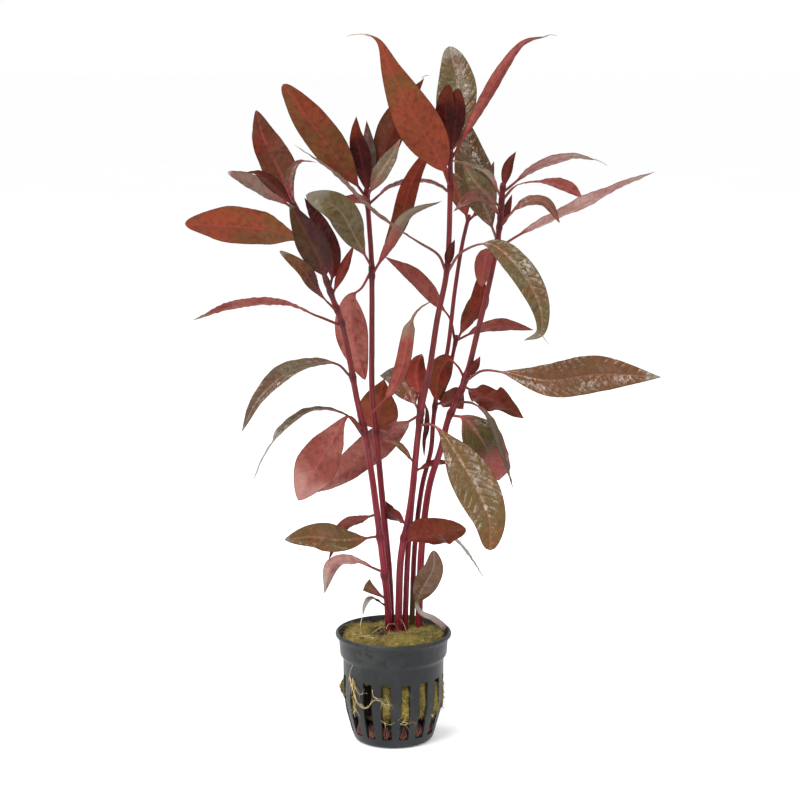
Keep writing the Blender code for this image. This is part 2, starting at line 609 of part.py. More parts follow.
def make_plug():
    """The rockwool plug, pushing out a little into the pot's slots, with holes for the stems."""
    mesh = turned_mesh("rockwool_plug", PLUG_OUTLINE, PLUG_SIDES)
    for vertex in mesh.vertices:
        if vertex.co.z > PLUG_TOP:
            vertex.co.z += plug_top(vertex.co.x, vertex.co.y)
    plug = add_object("rockwool_plug", mesh, "rockwool", PLUG_SMOOTH_DEG)
    points, faces = [], []
    for index, reach in enumerate(BULGE_REACH):
        turn = slot_turn(index)
        faces += [tuple(k + len(points) for k in face) for face in BOX_FACES]
        points += [turn @ p for p in box_points(BULGE_ROOT, reach, BULGE_WIDTH / 2,
                                                BULGE_WIDTH / 2 * BULGE_NARROW, BULGE_LOW, BULGE_HIGH)]
    combine(plug, add_object("bulges", mesh_from("bulges", points, faces), "rockwool"), "UNION")
    for name, stem in STEMS.items():
        foot = Vector(stem.route[0])
        upward = (Vector(stem.route[1]) - foot).normalized()
        ends = [foot - upward * (STEM_DEPTH + GAP), foot + upward * HOLE_ABOVE]
        radius = stem.foot_radius + HOLE_CLEAR
        hole = tube_mesh(name + "_hole", ends, [radius] * 2, STEM_SIDES)
        combine(plug, add_object(name + "_hole", hole, "rockwool"), "DIFFERENCE")


def main():
    """Build the pot, its plug, the stems and the leaves."""
    clear_scene()
    make_pot()
    make_plug()
    for name, stem in STEMS.items():
        make_stem(name, stem)
    make_stem("side_shoot", SIDE_SHOOT, rooted=False)
    all_stems = {**STEMS, "side_shoot": SIDE_SHOOT}
    for leaf in LEAVES:
        make_leaf(leaf, all_stems[leaf.stem])
    pot_leaf = leaf_mesh(POT_LEAF, POT_LEAF.route, LONG_RINGS)
    add_object(POT_LEAF.name, pot_leaf, "leaf_olive", LEAF_SMOOTH_DEG)


main()
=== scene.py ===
"""Potted sessile joyweed: the finished looks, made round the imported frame.

Sizes and places are in millimetres until a piece becomes a mesh, which is in metres. The origin
is the centre of the pot's flat underside, +Z is up and the front is towards -Y. Leaves and stems
follow the same routes as the solids that they replace.
"""
from __future__ import annotations

import json
import logging
import math
from dataclasses import dataclass, field
from enum import Enum
from typing import Any, Iterable

import bpy
import numpy as np
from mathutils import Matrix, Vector, noise


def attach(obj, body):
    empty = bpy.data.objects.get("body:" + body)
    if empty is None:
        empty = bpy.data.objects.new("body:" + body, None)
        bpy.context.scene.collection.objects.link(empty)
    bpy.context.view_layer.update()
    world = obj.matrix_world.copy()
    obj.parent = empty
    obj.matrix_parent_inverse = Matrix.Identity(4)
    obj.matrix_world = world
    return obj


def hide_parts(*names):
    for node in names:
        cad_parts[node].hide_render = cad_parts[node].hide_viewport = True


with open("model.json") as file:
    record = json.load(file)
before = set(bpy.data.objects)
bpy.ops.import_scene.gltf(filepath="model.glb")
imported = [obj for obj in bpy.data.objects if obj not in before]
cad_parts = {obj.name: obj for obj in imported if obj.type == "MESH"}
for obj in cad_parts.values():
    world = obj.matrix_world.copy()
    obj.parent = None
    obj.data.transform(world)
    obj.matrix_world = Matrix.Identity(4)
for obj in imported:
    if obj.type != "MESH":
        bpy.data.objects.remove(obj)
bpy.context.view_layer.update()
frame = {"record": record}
SLOT_OF: dict[str, str] = {
    part["node"]: part["material_slot"] for part in frame["record"].get("subparts", [])
    if part.get("material_slot")}

log = logging.getLogger("joyweed")
Array = np.ndarray
Colour = tuple[float, float, float]
Place = tuple[float, float, float]

MM = 0.001
BODY = "root"
UP = np.array((0.0, 0.0, 1.0))
FRONT = np.array((0.0, -1.0, 0.0))

# Routes, as in the solids
SPLINE_STEPS = 12
STEM_DEPTH = 12.0
NODE_SWELL = 0.35
NODE_REACH = 2.6
WAVE_TURNS = 3.0
WAVY_WIDTH = 12.0

# Points along a root or a hair
THREAD_STEPS = 24


class Socket:
    """A node's output, on which arithmetic adds Math nodes."""

    def __init__(self, tree: bpy.types.NodeTree, output: bpy.types.NodeSocket) -> None:
        """Keep the tree and the output.

        Args:
            tree: The node tree that the output is in.
            output: The output that this stands for.
        """
        self.tree = tree
        self.output = output

    def _math(self, operation: str, *values: Any) -> "Socket":
        """Add a Math node.

        Args:
            operation: The Math node's operation.
            values: Numbers or sockets, in the order of its inputs.

        Returns:
            The result's socket.
        """
        node = self.tree.nodes.new("ShaderNodeMath")
        node.operation = operation
        for index, value in enumerate(values):
            if isinstance(value, Socket):
                self.tree.links.new(value.output, node.inputs[index])
            else:
                node.inputs[index].default_value = value
        return Socket(self.tree, node.outputs[0])

    def __add__(self, other: Any) -> "Socket":
        """Add."""
        return self._math("ADD", self, other)

    __radd__ = __add__

    def __sub__(self, other: Any) -> "Socket":
        """Take away."""
        return self._math("SUBTRACT", self, other)

    def __rsub__(self, other: Any) -> "Socket":
        """Take this away from a number."""
        return self._math("SUBTRACT", other, self)

    def __mul__(self, other: Any) -> "Socket":
        """Multiply."""
        return self._math("MULTIPLY", self, other)

    __rmul__ = __mul__

    def __truediv__(self, other: Any) -> "Socket":
        """Divide."""
        return self._math("DIVIDE", self, other)

    def __abs__(self) -> "Socket":
        """Size without sign."""
        return self._math("ABSOLUTE", self)

    def fract(self) -> "Socket":
        """Part after the decimal point."""
        return self._math("FRACT", self)


class Tree:
    """A shader or geometry node tree that is written as Python expressions."""

    def __init__(self, tree: bpy.types.NodeTree) -> None:
        """Keep the tree.

        Args:
            tree: The node tree to add to.
        """
        self.tree = tree

    def add(self, kind: str, settings: dict[str, Any] | None = None,
            values: dict[Any, Any] | None = None, out: Any = 0) -> Socket:
        """Add a node.

        Args:
            kind: The node's type name.
            settings: Its properties, set first.
            values: Numbers, colours or sockets for its inputs, by name or index.
            out: The output that is wanted, by name or index.

        Returns:
            The wanted output.
        """
        node = self.tree.nodes.new(kind)
        for name, value in (settings or {}).items():
            setattr(node, name, value)
        for key, value in (values or {}).items():
            if isinstance(value, Socket):
                self.tree.links.new(value.output, node.inputs[key])
            else:
                node.inputs[key].default_value = value
        return Socket(self.tree, node.outputs[out])


class Paint(Tree):
    """A material under construction."""

    def __init__(self, name: str) -> None:
        """Start a material with its Principled shader.

        Args:
            name: The material's name.
        """
        self.material = bpy.data.materials.new(name)
        self.material.use_nodes = True
        super().__init__(self.material.node_tree)
        self.shader = self.tree.nodes["Principled BSDF"]

    def place(self) -> Socket:
        """Object coordinates, in metres."""
        return self.add("ShaderNodeTexCoord", out="Object")

    def parts(self, attribute: str) -> tuple[Socket, Socket, Socket]:
        """The three parts of one of the piece's own vector attributes.

        Args:
            attribute: "guide", for distance across and along in millimetres and the share of
                the half width from -1 to 1, or "tone", for lightness, mottling and dryness.

        Returns:
            The three values.
        """
        vector = self.add("ShaderNodeAttribute", {"attribute_name": attribute}, out="Vector")
        split = self.tree.nodes.new("ShaderNodeSeparateXYZ")
        self.tree.links.new(vector.output, split.inputs[0])
        return tuple(Socket(self.tree, output) for output in split.outputs)

    def noise(self, scale: float, detail: float = 3.0, vector: Socket | None = None,
              rough: float = 0.55, distortion: float = 0.0) -> Socket:
        """A noise value.

        Args:
            scale: Waves for each metre.
            detail: Octaves.
            vector: Coordinates; object coordinates where None.
            rough: Strength of the finer octaves.
            distortion: How far the noise is warped.

        Returns:
            A value round a half.
        """
        where = vector or self.place()
        return self.add("ShaderNodeTexNoise", None,
                        {"Vector": where, "Scale": scale, "Detail": detail, "Roughness": rough,
                         "Distortion": distortion})

    def height(self) -> Socket:
        """Height above the pot's underside, in metres."""
        return self.add("ShaderNodeSeparateXYZ", None, {0: self.place()}, out="Z")

    def stretched(self, factors: Place) -> Socket:
        """Object coordinates multiplied axis by axis."""
        return self.add("ShaderNodeVectorMath", {"operation": "MULTIPLY"},
                        {0: self.place(), 1: factors})

    def span(self, value: Socket, low: float, high: float, start: float = 0.0,
             end: float = 1.0) -> Socket:
        """Map a value smoothly from one span to another.

        Args:
            value: The value to map.
            low: Where it starts to change.
            high: Where it stops.
            start: The result at low.
            end: The result at high.

        Returns:
            The mapped value.
        """
        return self.add("ShaderNodeMapRange", {"interpolation_type": "SMOOTHSTEP"},
                        {"Value": value, "From Min": low, "From Max": high, "To Min": start,
                         "To Max": end})

    def mix(self, factor: Any, first: Any, second: Any) -> Socket:
        """Mix two colours.

        Args:
            factor: The second colour's share.
            first: A colour or a socket.
            second: A colour or a socket.

        Returns:
            The mixed colour.
        """
        def full(colour: Any) -> Any:
            """A colour with its alpha, or the socket as it is."""
            return colour if isinstance(colour, Socket) else (*colour, 1.0)
        return self.add("ShaderNodeMix", {"data_type": "RGBA"},
                        {0: factor, 6: full(first), 7: full(second)}, out=2)

    def lit(self, colour: Socket, light: Socket) -> Socket:
        """The colour scaled by a lightness."""
        return self.add("ShaderNodeVectorMath", {"operation": "SCALE"},
                        {0: colour, "Scale": light})

    def bump(self, height: Socket, distance: float) -> None:
        """Feed the shader's Normal from a height.

        Args:
            height: The height, about 0 to 1.
            distance: What a height of 1 stands for, in metres.
        """
        normal = self.add("ShaderNodeBump", None, {"Height": height, "Distance": distance})
        self.tree.links.new(normal.output, self.shader.inputs["Normal"])

    def set(self, **values: Any) -> bpy.types.Material:
        """Set the shader's sockets; an underscore in a name stands for a space.

        Args:
            values: Numbers, colours or sockets, by the socket's name.

        Returns:
            The finished material.
        """
        for name, value in values.items():
            socket = self.shader.inputs[name.replace("_", " ")]
            if isinstance(value, Socket):
                self.tree.links.new(value.output, socket)
            else:
                socket.default_value = value
        return self.material


class Finish:
    """A named finish whose material is made once and then reused."""
    name: str

    def material(self) -> bpy.types.Material:
        """The finish's material."""
        return bpy.data.materials.get(self.name) or self._make(Paint(self.name))

    def _make(self, paint: Paint) -> bpy.types.Material:
        """Lay the finish's nodes.

        Args:
            paint: The material under construction.

        Returns:
            The finished material.
        """
        raise NotImplementedError


@dataclass(frozen=True)
class LeafFinish(Finish):
    """One face of a leaf: its colours, and how wet and how quilted it is.

    patch is what the body is mottled with, deep its fine dark flecks, rim the margin's line,
    tip the drawn-out end where the leaf is drying and stalk the narrow foot.
    """
    name: str
    body: Colour
    patch: Colour
    deep: Colour
    vein: Colour
    rim: Colour
    rough: tuple[float, float]
    tip: Colour = (0.150, 0.125, 0.085)
    stalk: Colour = (0.185, 0.026, 0.026)
    wet: float = 0.0
    quilt: float = 0.5
    veins: float = 0.28
    spacing: float = 4.2
    sheen: float = 0.08

    def _make(self, paint: Paint) -> bpy.types.Material:
        """Lay the nodes of one face of a leaf.

        Args:
            paint: The material under construction.

        Returns:
            The finished material.
        """
        across, along, share = paint.parts("guide")
        light, mottle, dry = paint.parts("tone")
        out = abs(across)
        broad = paint.noise(70.0, 3.0)
        fine = paint.noise(420.0, 4.0)
        grain = paint.noise(1500.0, 3.0)
        cell = ((along - out * (out * 0.06 + 0.7)) / self.spacing + broad * 0.6).fract()
        edge = abs(cell - 0.5)
        vein = paint.span(edge, 0.40, 0.49)
        valley = paint.span(edge, 0.18, 0.5)
        minor = paint.add("ShaderNodeTexVoronoi", {"feature": "DISTANCE_TO_EDGE"},
                          {"Vector": paint.place(), "Scale": 620.0})
        net = paint.span(minor, 0.0, 0.16, 1.0, 0.0)
        foot = paint.span(along, 3.0, 24.0, 1.0, 0.0)
        rib = paint.span(out / (foot * 2.4 + 1.0), 0.10, 0.48, 1.0, 0.0)
        half = (out + 0.001) / (abs(share) + 0.001)
        margin = paint.span(half - out, 0.1, 0.5, 1.0, 0.0)
        colour = paint.mix(paint.span(broad + mottle, 0.42, 0.6), self.body, self.patch)
        colour = paint.mix(paint.span(fine, 0.45, 0.7) * 0.6, colour, self.deep)
        colour = paint.mix(vein * self.veins, colour, self.deep)
        colour = paint.mix(net * self.veins * 0.35, colour, self.vein)
        colour = paint.mix(paint.span(dry + broad * 1.1 + fine * 0.5, 1.0, 1.7), colour, self.tip)
        narrow = paint.span(half, 0.75, 1.7, 1.0, 0.0) * paint.span(along, 18.0, 40.0, 1.0, 0.0)
        colour = paint.mix(rib * (0.7 - dry * 0.6), colour, self.vein)
        colour = paint.mix(narrow * (1.0 - dry), colour, self.stalk)
        colour = paint.mix(paint.span(along, 4.0, 15.0, 0.4, 0.0), colour, self.stalk)
        colour = paint.mix(margin * 0.75, colour, self.rim)
        rough = paint.span(fine + grain * 0.4, 0.5, 0.9, *self.rough)
        film = paint.span(paint.noise(150.0, 4.0, distortion=0.9), 0.5, 0.62)
        height = (1.0 - valley) * self.quilt * 0.4 + fine * self.quilt + grain * 0.2 - net * 0.05
        paint.bump(height, 0.0004)
        rough = rough * (1.0 - film * self.wet * 0.8)
        return paint.set(Base_Color=paint.lit(colour, light), Roughness=rough,
                         Coat_Weight=film * self.wet * 0.4, Coat_Roughness=0.05,
                         Specular_IOR_Level=self.sheen)


class Tone(Enum):
    """A leaf's upper and lower faces."""
    OLIVE = (
        LeafFinish("olive_upper", (0.080, 0.054, 0.013), (0.105, 0.046, 0.012),
                   (0.034, 0.024, 0.007), (0.210, 0.120, 0.065), (0.060, 0.045, 0.016),
                   (0.16, 0.42), wet=0.8, quilt=1.0, veins=0.4, sheen=0.28),
        LeafFinish("rose_under", (0.185, 0.042, 0.031), (0.225, 0.062, 0.047),
                   (0.105, 0.020, 0.016), (0.270, 0.055, 0.056), (0.110, 0.022, 0.017),
                   (0.42, 0.58)))
    BRONZE = (
        LeafFinish("bronze_upper", (0.118, 0.043, 0.010), (0.085, 0.050, 0.011),
                   (0.048, 0.021, 0.006), (0.200, 0.075, 0.036), (0.065, 0.026, 0.010),
                   (0.16, 0.40), wet=0.75, quilt=0.9, veins=0.4, sheen=0.28),
        LeafFinish("copper_under", (0.152, 0.030, 0.013), (0.100, 0.040, 0.012),
                   (0.078, 0.014, 0.006), (0.190, 0.032, 0.024), (0.062, 0.014, 0.007),
                   (0.42, 0.58), quilt=0.4))
    BRICK = (
        LeafFinish("red_upper", (0.100, 0.018, 0.009), (0.070, 0.026, 0.009),
                   (0.042, 0.008, 0.005), (0.170, 0.030, 0.026), (0.060, 0.010, 0.007),
                   (0.22, 0.45), wet=0.45, quilt=0.8, sheen=0.14),
        LeafFinish("brick_under", (0.115, 0.016, 0.007), (0.080, 0.022, 0.007),
                   (0.052, 0.008, 0.005), (0.165, 0.026, 0.022), (0.050, 0.008, 0.005),
                   (0.42, 0.56), quilt=0.4))
    COPPER = (BRICK[0], BRONZE[1])
    MAROON = (
        LeafFinish("maroon_upper", (0.024, 0.004, 0.003), (0.055, 0.007, 0.005),
                   (0.006, 0.002, 0.003), (0.060, 0.009, 0.007), (0.050, 0.008, 0.005),
                   (0.25, 0.45), tip=(0.120, 0.018, 0.008), wet=0.25, quilt=0.7, veins=0.3,
                   spacing=2.6, sheen=0.08),
        LeafFinish("maroon_under", (0.036, 0.005, 0.004), (0.062, 0.007, 0.005),
                   (0.007, 0.002, 0.003), (0.090, 0.011, 0.010), (0.040, 0.006, 0.004),
                   (0.40, 0.55), tip=(0.130, 0.020, 0.008), quilt=0.6, veins=0.3, spacing=2.6))
    DUSK = (
        LeafFinish("dusk_olive_upper", (0.090, 0.036, 0.009), (0.060, 0.010, 0.011),
                   (0.036, 0.010, 0.005), (0.170, 0.036, 0.030), (0.050, 0.030, 0.010),
                   (0.2, 0.42), wet=0.35, quilt=0.8, sheen=0.14),
        MAROON[1])
    ROSE = (
        LeafFinish("dusk_upper", (0.098, 0.042, 0.022), (0.120, 0.036, 0.022),
                   (0.050, 0.018, 0.011), (0.190, 0.052, 0.045), (0.060, 0.024, 0.014),
                   (0.22, 0.45), wet=0.45, quilt=0.8, sheen=0.14),
        OLIVE[1])
    BLUSH = (
        ROSE[0],
        LeafFinish("blush_under", (0.195, 0.044, 0.032), (0.240, 0.075, 0.058),
                   (0.110, 0.020, 0.016), (0.290, 0.070, 0.066), (0.120, 0.026, 0.020),
                   (0.36, 0.52), tip=(0.330, 0.150, 0.128), quilt=0.8, veins=0.3, sheen=0.14))
    PALE = (
        ROSE[0],
        LeafFinish("pale_under", (0.300, 0.160, 0.135), (0.360, 0.215, 0.190),
                   (0.200, 0.070, 0.060), (0.330, 0.110, 0.105), (0.130, 0.034, 0.030),
                   (0.36, 0.52), tip=(0.260, 0.200, 0.165), quilt=0.7, veins=0.45, sheen=0.14))
    SHADE = (
        LeafFinish("shade_upper", (0.052, 0.034, 0.008), (0.036, 0.030, 0.008),
                   (0.020, 0.014, 0.004), (0.150, 0.060, 0.045), (0.040, 0.026, 0.008),
                   (0.2, 0.42), tip=(0.165, 0.036, 0.029), wet=0.4, quilt=0.8, sheen=0.14),
        BLUSH[1])
    SILVER = (
        LeafFinish("silver_upper", (0.104, 0.072, 0.036), (0.102, 0.046, 0.020),
                   (0.046, 0.034, 0.018), (0.210, 0.130, 0.100), (0.060, 0.042, 0.024),
                   (0.20, 0.45), tip=(0.360, 0.330, 0.290), wet=0.6, quilt=0.9, veins=0.35,
                   sheen=0.28),
        LeafFinish("silver_under", (0.150, 0.096, 0.070), (0.165, 0.074, 0.058),
                   (0.080, 0.042, 0.030), (0.220, 0.082, 0.075), (0.085, 0.045, 0.032),
                   (0.38, 0.56), tip=(0.360, 0.330, 0.290), quilt=0.6, veins=0.35, sheen=0.1))

    @property
    def materials(self) -> list[bpy.types.Material]:
        """The upper face's material and the lower face's."""
        return [finish.material() for finish in self.value]


class CordFinish(Enum):
    """Thread-like growths: the colour, a second colour, and the roughness."""
    ROOT = ("root_cream", (0.62, 0.50, 0.26), (0.42, 0.28, 0.10), 0.55)
    WHITE_ROOT = ("root_white", (0.78, 0.70, 0.52), (0.60, 0.46, 0.28), 0.5)
    DARK_ROOT = ("root_dark", (0.150, 0.038, 0.018), (0.060, 0.016, 0.009), 0.6)
    HAIR = ("leaf_hair", (0.34, 0.28, 0.20), (0.20, 0.14, 0.09), 0.5)
    WOOL = ("wool_fibre", (0.39, 0.31, 0.105), (0.16, 0.115, 0.03), 0.85)

    def material(self) -> bpy.types.Material:
        """The material, made once and then reused.

        Returns:
            The material.
        """
        name, light, dark, rough = self.value
        if name in bpy.data.materials:
            return bpy.data.materials[name]
        paint = Paint(name)
        mottled = paint.noise(260.0, 3.0)
        colour = paint.mix(paint.span(mottled, 0.38, 0.62), light, dark)
        paint.bump(paint.noise(2400.0, 2.0), 0.0001)
        return paint.set(Base_Color=colour,
                         Roughness=paint.span(mottled, 0.3, 0.7, rough - 0.1, rough))


@dataclass(frozen=True)
class StemFinish(Finish):
    """The stems' skin: crimson low down, browner towards the top, streaked along its length."""
    name: str = "stem_skin"
    low: Colour = (0.175, 0.012, 0.022)
    high: Colour = (0.105, 0.015, 0.014)
    streak: Colour = (0.290, 0.060, 0.066)
    shade: Colour = (0.040, 0.005, 0.007)
    olive: Colour = (0.090, 0.070, 0.018)
    change: tuple[float, float] = (0.07, 0.2)

    def _make(self, paint: Paint) -> bpy.types.Material:
        """Lay the nodes of the streaked skin.

        Args:
            paint: The material under construction.

        Returns:
            The finished material.
        """
        turn, along, node = paint.parts("guide")
        green = paint.parts("tone")[2]
        height = paint.height()
        fibres = paint.noise(1.0, 3.0, paint.add(
            "ShaderNodeCombineXYZ", None, {0: turn * 3.2, 1: along * 0.05, 2: height * 40.0}))
        blotch = paint.noise(120.0, 2.0)
        colour = paint.mix(paint.span(height, *self.change), self.low, self.high)
        colour = paint.mix(paint.span(fibres, 0.48, 0.7) * 0.55, colour, self.streak)
        colour = paint.mix(paint.span(fibres, 0.28, 0.48, 1.0, 0.0) * 0.6, colour, self.shade)
        colour = paint.mix(paint.span(blotch, 0.5, 0.7) * 0.5, colour, self.shade)
        colour = paint.mix(green, colour, self.olive)
        colour = paint.mix(node * 0.65, colour, self.shade)
        paint.bump(fibres + blotch * 0.4, 0.0003)
        return paint.set(Base_Color=colour, Roughness=paint.span(fibres, 0.3, 0.7, 0.28, 0.5),
                         Coat_Weight=paint.span(blotch, 0.45, 0.6) * 0.15, Coat_Roughness=0.15,
                         Specular_IOR_Level=0.12)


@dataclass(frozen=True)
class PlasticFinish(Finish):
    """Moulded charcoal plastic with dull wet marks and fine scuffs."""
    name: str = "pot_plastic_moulded"
    body: Colour = (0.013, 0.014, 0.015)
    dusty: Colour = (0.024, 0.026, 0.027)
    wet: Colour = (0.003, 0.004, 0.004)
    scuffed: Colour = (0.065, 0.066, 0.066)
    wet_from: tuple[float, float] = (0.028, 0.037)

    def _make(self, paint: Paint) -> bpy.types.Material:
        """Lay the nodes of the worn plastic.

        Args:
            paint: The material under construction.

        Returns:
            The finished material.
        """
        broad = paint.noise(45.0, 3.0)
        grain = paint.noise(2600.0, 2.0)
        spots = paint.noise(170.0, 2.0, distortion=0.8)
        height = paint.height()
        mark = paint.span(spots, 0.56, 0.61) * paint.span(height, *self.wet_from, 0.25, 1.0)
        scuff = paint.span(paint.noise(1.0, 4.0, paint.stretched((220.0, 220.0, 60.0))), 0.55, 0.75)
        colour = paint.mix(paint.span(broad, 0.4, 0.65), self.body, self.dusty)
        colour = paint.mix(mark * 0.85, colour, self.wet)
        colour = paint.mix(scuff * 0.12, colour, self.scuffed)
        paint.bump(grain * 0.5 + broad * 0.4 - mark * 0.5, 0.0001)
        rough = paint.span(broad + grain * 0.3, 0.4, 0.9, 0.34, 0.5)
        return paint.set(Base_Color=colour, Roughness=rough, Coat_Weight=mark * 0.15,
                         Coat_Roughness=0.08, Specular_IOR_Level=0.22)


@dataclass(frozen=True)
class WoolFinish(Finish):
    """Rockwool: matted olive and straw yellow fibres, with painted shade round the stems."""
    name: str = "rockwool_matted"
    straw: Colour = (0.265, 0.196, 0.041)
    olive: Colour = (0.120, 0.096, 0.022)
    brown: Colour = (0.055, 0.032, 0.010)
    # Near black, for the plug's darker foot and for painted shade.
    dark: Colour = (0.010, 0.005, 0.003)
    # The brown edge of the painted shade.
    shade_brown: Colour = (0.085, 0.030, 0.010)
    thread: Colour = (0.560, 0.460, 0.180)
    base: tuple[float, float] = (0.012, 0.017)

    def _make(self, paint: Paint) -> bpy.types.Material:
        """Lay the nodes of the matted wool.

        Args:
            paint: The material under construction.

        Returns:
            The finished material.
        """
        broad = paint.noise(90.0, 3.0)
        mat = paint.noise(700.0, 5.0, distortion=1.2, rough=0.7)
        lines = paint.noise(1.0, 4.0, paint.stretched((420.0, 420.0, 1500.0)), rough=0.7)
        height = paint.height()
        pit = paint.add("ShaderNodeAttribute", {"attribute_name": "pit"}, out="Fac")
        colour = paint.mix(paint.span(broad + mat * 0.25, 0.55, 0.72), self.olive, self.straw)
        colour = paint.mix(paint.span(mat, 0.5, 0.68) * 0.8, colour, self.brown)
        colour = paint.mix(paint.span(lines, 0.56, 0.68) * 0.6, colour, self.thread)
        low = paint.span(height, *self.base, 1.0, 0.0)
        colour = paint.mix(low * 0.85, colour, self.dark)
        # Painted shade: browner, then near black, round the stems, in cracks and in the sunk slot.
        colour = paint.mix(paint.span(pit + broad * 0.5, 0.42, 0.62) * 0.7, colour, self.shade_brown)
        colour = paint.mix(paint.span(pit + mat * 0.4, 0.5, 0.85), colour, self.dark)
        paint.bump(mat + lines * 0.7, 0.0012)
        return paint.set(Base_Color=colour, Roughness=paint.span(mat, 0.3, 0.7, 0.8, 0.95),
                         Specular_IOR_Level=0.1)


class GeometryTree(Tree):
    """A geometry node tree with named inputs, ending in Realize Instances and Set Material."""

    def __init__(self, name: str, sizes: dict[str, tuple[str, Any]]) -> None:
        """Start a tree.

        Args:
            name: The tree's name.
            sizes: Each input's socket type and default value, by name.
        """
        self.group = bpy.data.node_groups.new(name, "GeometryNodeTree")
        super().__init__(self.group)
        face = self.group.interface
        face.new_socket("Geometry", in_out="INPUT", socket_type="NodeSocketGeometry")
        face.new_socket("Geometry", in_out="OUTPUT", socket_type="NodeSocketGeometry")
        for label, (kind, default) in sizes.items():
            socket = face.new_socket(label, in_out="INPUT", socket_type=kind)
            socket.default_value = default
        self.entry = self.group.nodes.new("NodeGroupInput")

    def size(self, name: str) -> Socket:
        """A named input's socket."""
        return Socket(self.group, self.entry.outputs[name])

    def end(self, geometry: Socket, material: bpy.types.Material) -> None:
        """Close the tree.

        Args:
            geometry: The finished geometry.
            material: The material that it takes.
        """
        real = self.add("GeometryNodeRealizeInstances", None, {"Geometry": geometry})
        dressed = self.add("GeometryNodeSetMaterial", None, {"Geometry": real})
        dressed.output.node.inputs["Material"].default_value = material
        leave = self.group.nodes.new("NodeGroupOutput")
        self.group.links.new(dressed.output, leave.inputs[0])

    def apply(self, carrier: bpy.types.Object, name: str, **values: Any) -> bpy.types.Mesh:
        """Run the tree on an object and keep its result as a plain mesh.

        Args:
            carrier: The object that the tree reads; it is removed afterwards.
            name: The new mesh's name.
            values: The named inputs' values; an underscore in a name stands for a space.

        Returns:
            The plain mesh.
        """
        modifier = carrier.modifiers.new("growth", "NODES")
        modifier.node_group = self.group
        found = {item.name: item.identifier for item in self.group.interface.items_tree
                 if item.item_type == "SOCKET" and item.in_out == "INPUT"}
        for label, value in values.items():
            modifier[found[label.replace("_", " ")]] = value
        graph = bpy.context.evaluated_depsgraph_get()
        mesh = bpy.data.meshes.new_from_object(carrier.evaluated_get(graph), depsgraph=graph)
        mesh.name = name
        carrier.modifiers.remove(modifier)
        bpy.data.objects.remove(carrier)
        return mesh


def link_object(name: str, mesh: bpy.types.Mesh) -> bpy.types.Object:
    """Put a mesh into the scene at the origin.

    Args:
        name: The object's name.
        mesh: Its mesh.

    Returns:
        The object.
    """
    body = bpy.data.objects.new(name, mesh)
    bpy.context.scene.collection.objects.link(body)
    return body


def declare(piece: bpy.types.Object, slot: str, *nodes: str) -> None:
    """Ride a piece on the body, hide the solids that it replaces and log its faces.

    Args:
        piece: The finished piece.
        slot: The record's material slot; it is not used.
        nodes: The solids that it replaces.
    """
    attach(piece, BODY)
    if nodes:
        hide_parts(*nodes)
    log.info("%s: %d faces", piece.name, len(piece.data.polygons))


def smooth_route(points: Iterable[Place], count: int) -> Array:
    """Points at even distances along a smooth curve through the route's own points.

    Args:
        points: The route's points.
        count: How many points are wanted.

    Returns:
        The points, one row each.
    """
    knots = np.array(list(points), float)
    ends = np.vstack((knots[0] * 2 - knots[1], knots, knots[-1] * 2 - knots[-2]))
    t = np.arange(SPLINE_STEPS)[:, None] / SPLINE_STEPS
    dense = [0.5 * (2 * b + (c - a) * t + (2 * a - 5 * b + 4 * c - d) * t ** 2
                    + (3 * b - a - 3 * c + d) * t ** 3)
             for a, b, c, d in zip(ends, ends[1:], ends[2:], ends[3:])]
    curve = np.vstack(dense + [knots[-1:]])
    reach = np.concatenate(([0.0], np.cumsum(np.linalg.norm(np.diff(curve, axis=0), axis=1))))
    goal = np.linspace(0.0, reach[-1], count)
    return np.stack([np.interp(goal, reach, curve[:, k]) for k in range(3)], axis=1)


def route_length(points: Array) -> float:
    """The length of a route's straight parts."""
    return float(np.linalg.norm(np.diff(points, axis=0), axis=1).sum())


def unit(vectors: Array) -> Array:
    """Vectors brought to length 1."""
    return vectors / np.linalg.norm(vectors, axis=-1, keepdims=True)


def directions(points: Array) -> Array:
    """The curve's direction at each of its points."""
    padded = np.vstack((points[:1], points, points[-1:]))
    return unit(padded[2:] - padded[:-2])


def soft_step(value: Array, low: float, high: float) -> Array:
    """A smooth step from 0 at low to 1 at high."""
    share = np.clip((value - low) / (high - low), 0.0, 1.0)
    return share * share * (3 - 2 * share)


def waves(x: Array, y: Array, seed: int, count: int = 5) -> Array:
    """A cheap smooth noise from a few crossed sine waves, about -1 to 1.

    Args:
        x: First coordinate.
        y: Second coordinate.
        seed: Fixed seed.
        count: How many waves.

    Returns:
        The noise at each place.
    """
    draw = np.random.default_rng(seed)
    total = np.zeros_like(x + y)
    for _ in range(count):
        angle, phase = draw.uniform(0, math.tau), draw.uniform(0, math.tau)
        size = draw.uniform(0.6, 1.7)
        total = total + np.sin((x * math.cos(angle) + y * math.sin(angle)) * size + phase)
    return total / math.sqrt(count) / 1.2


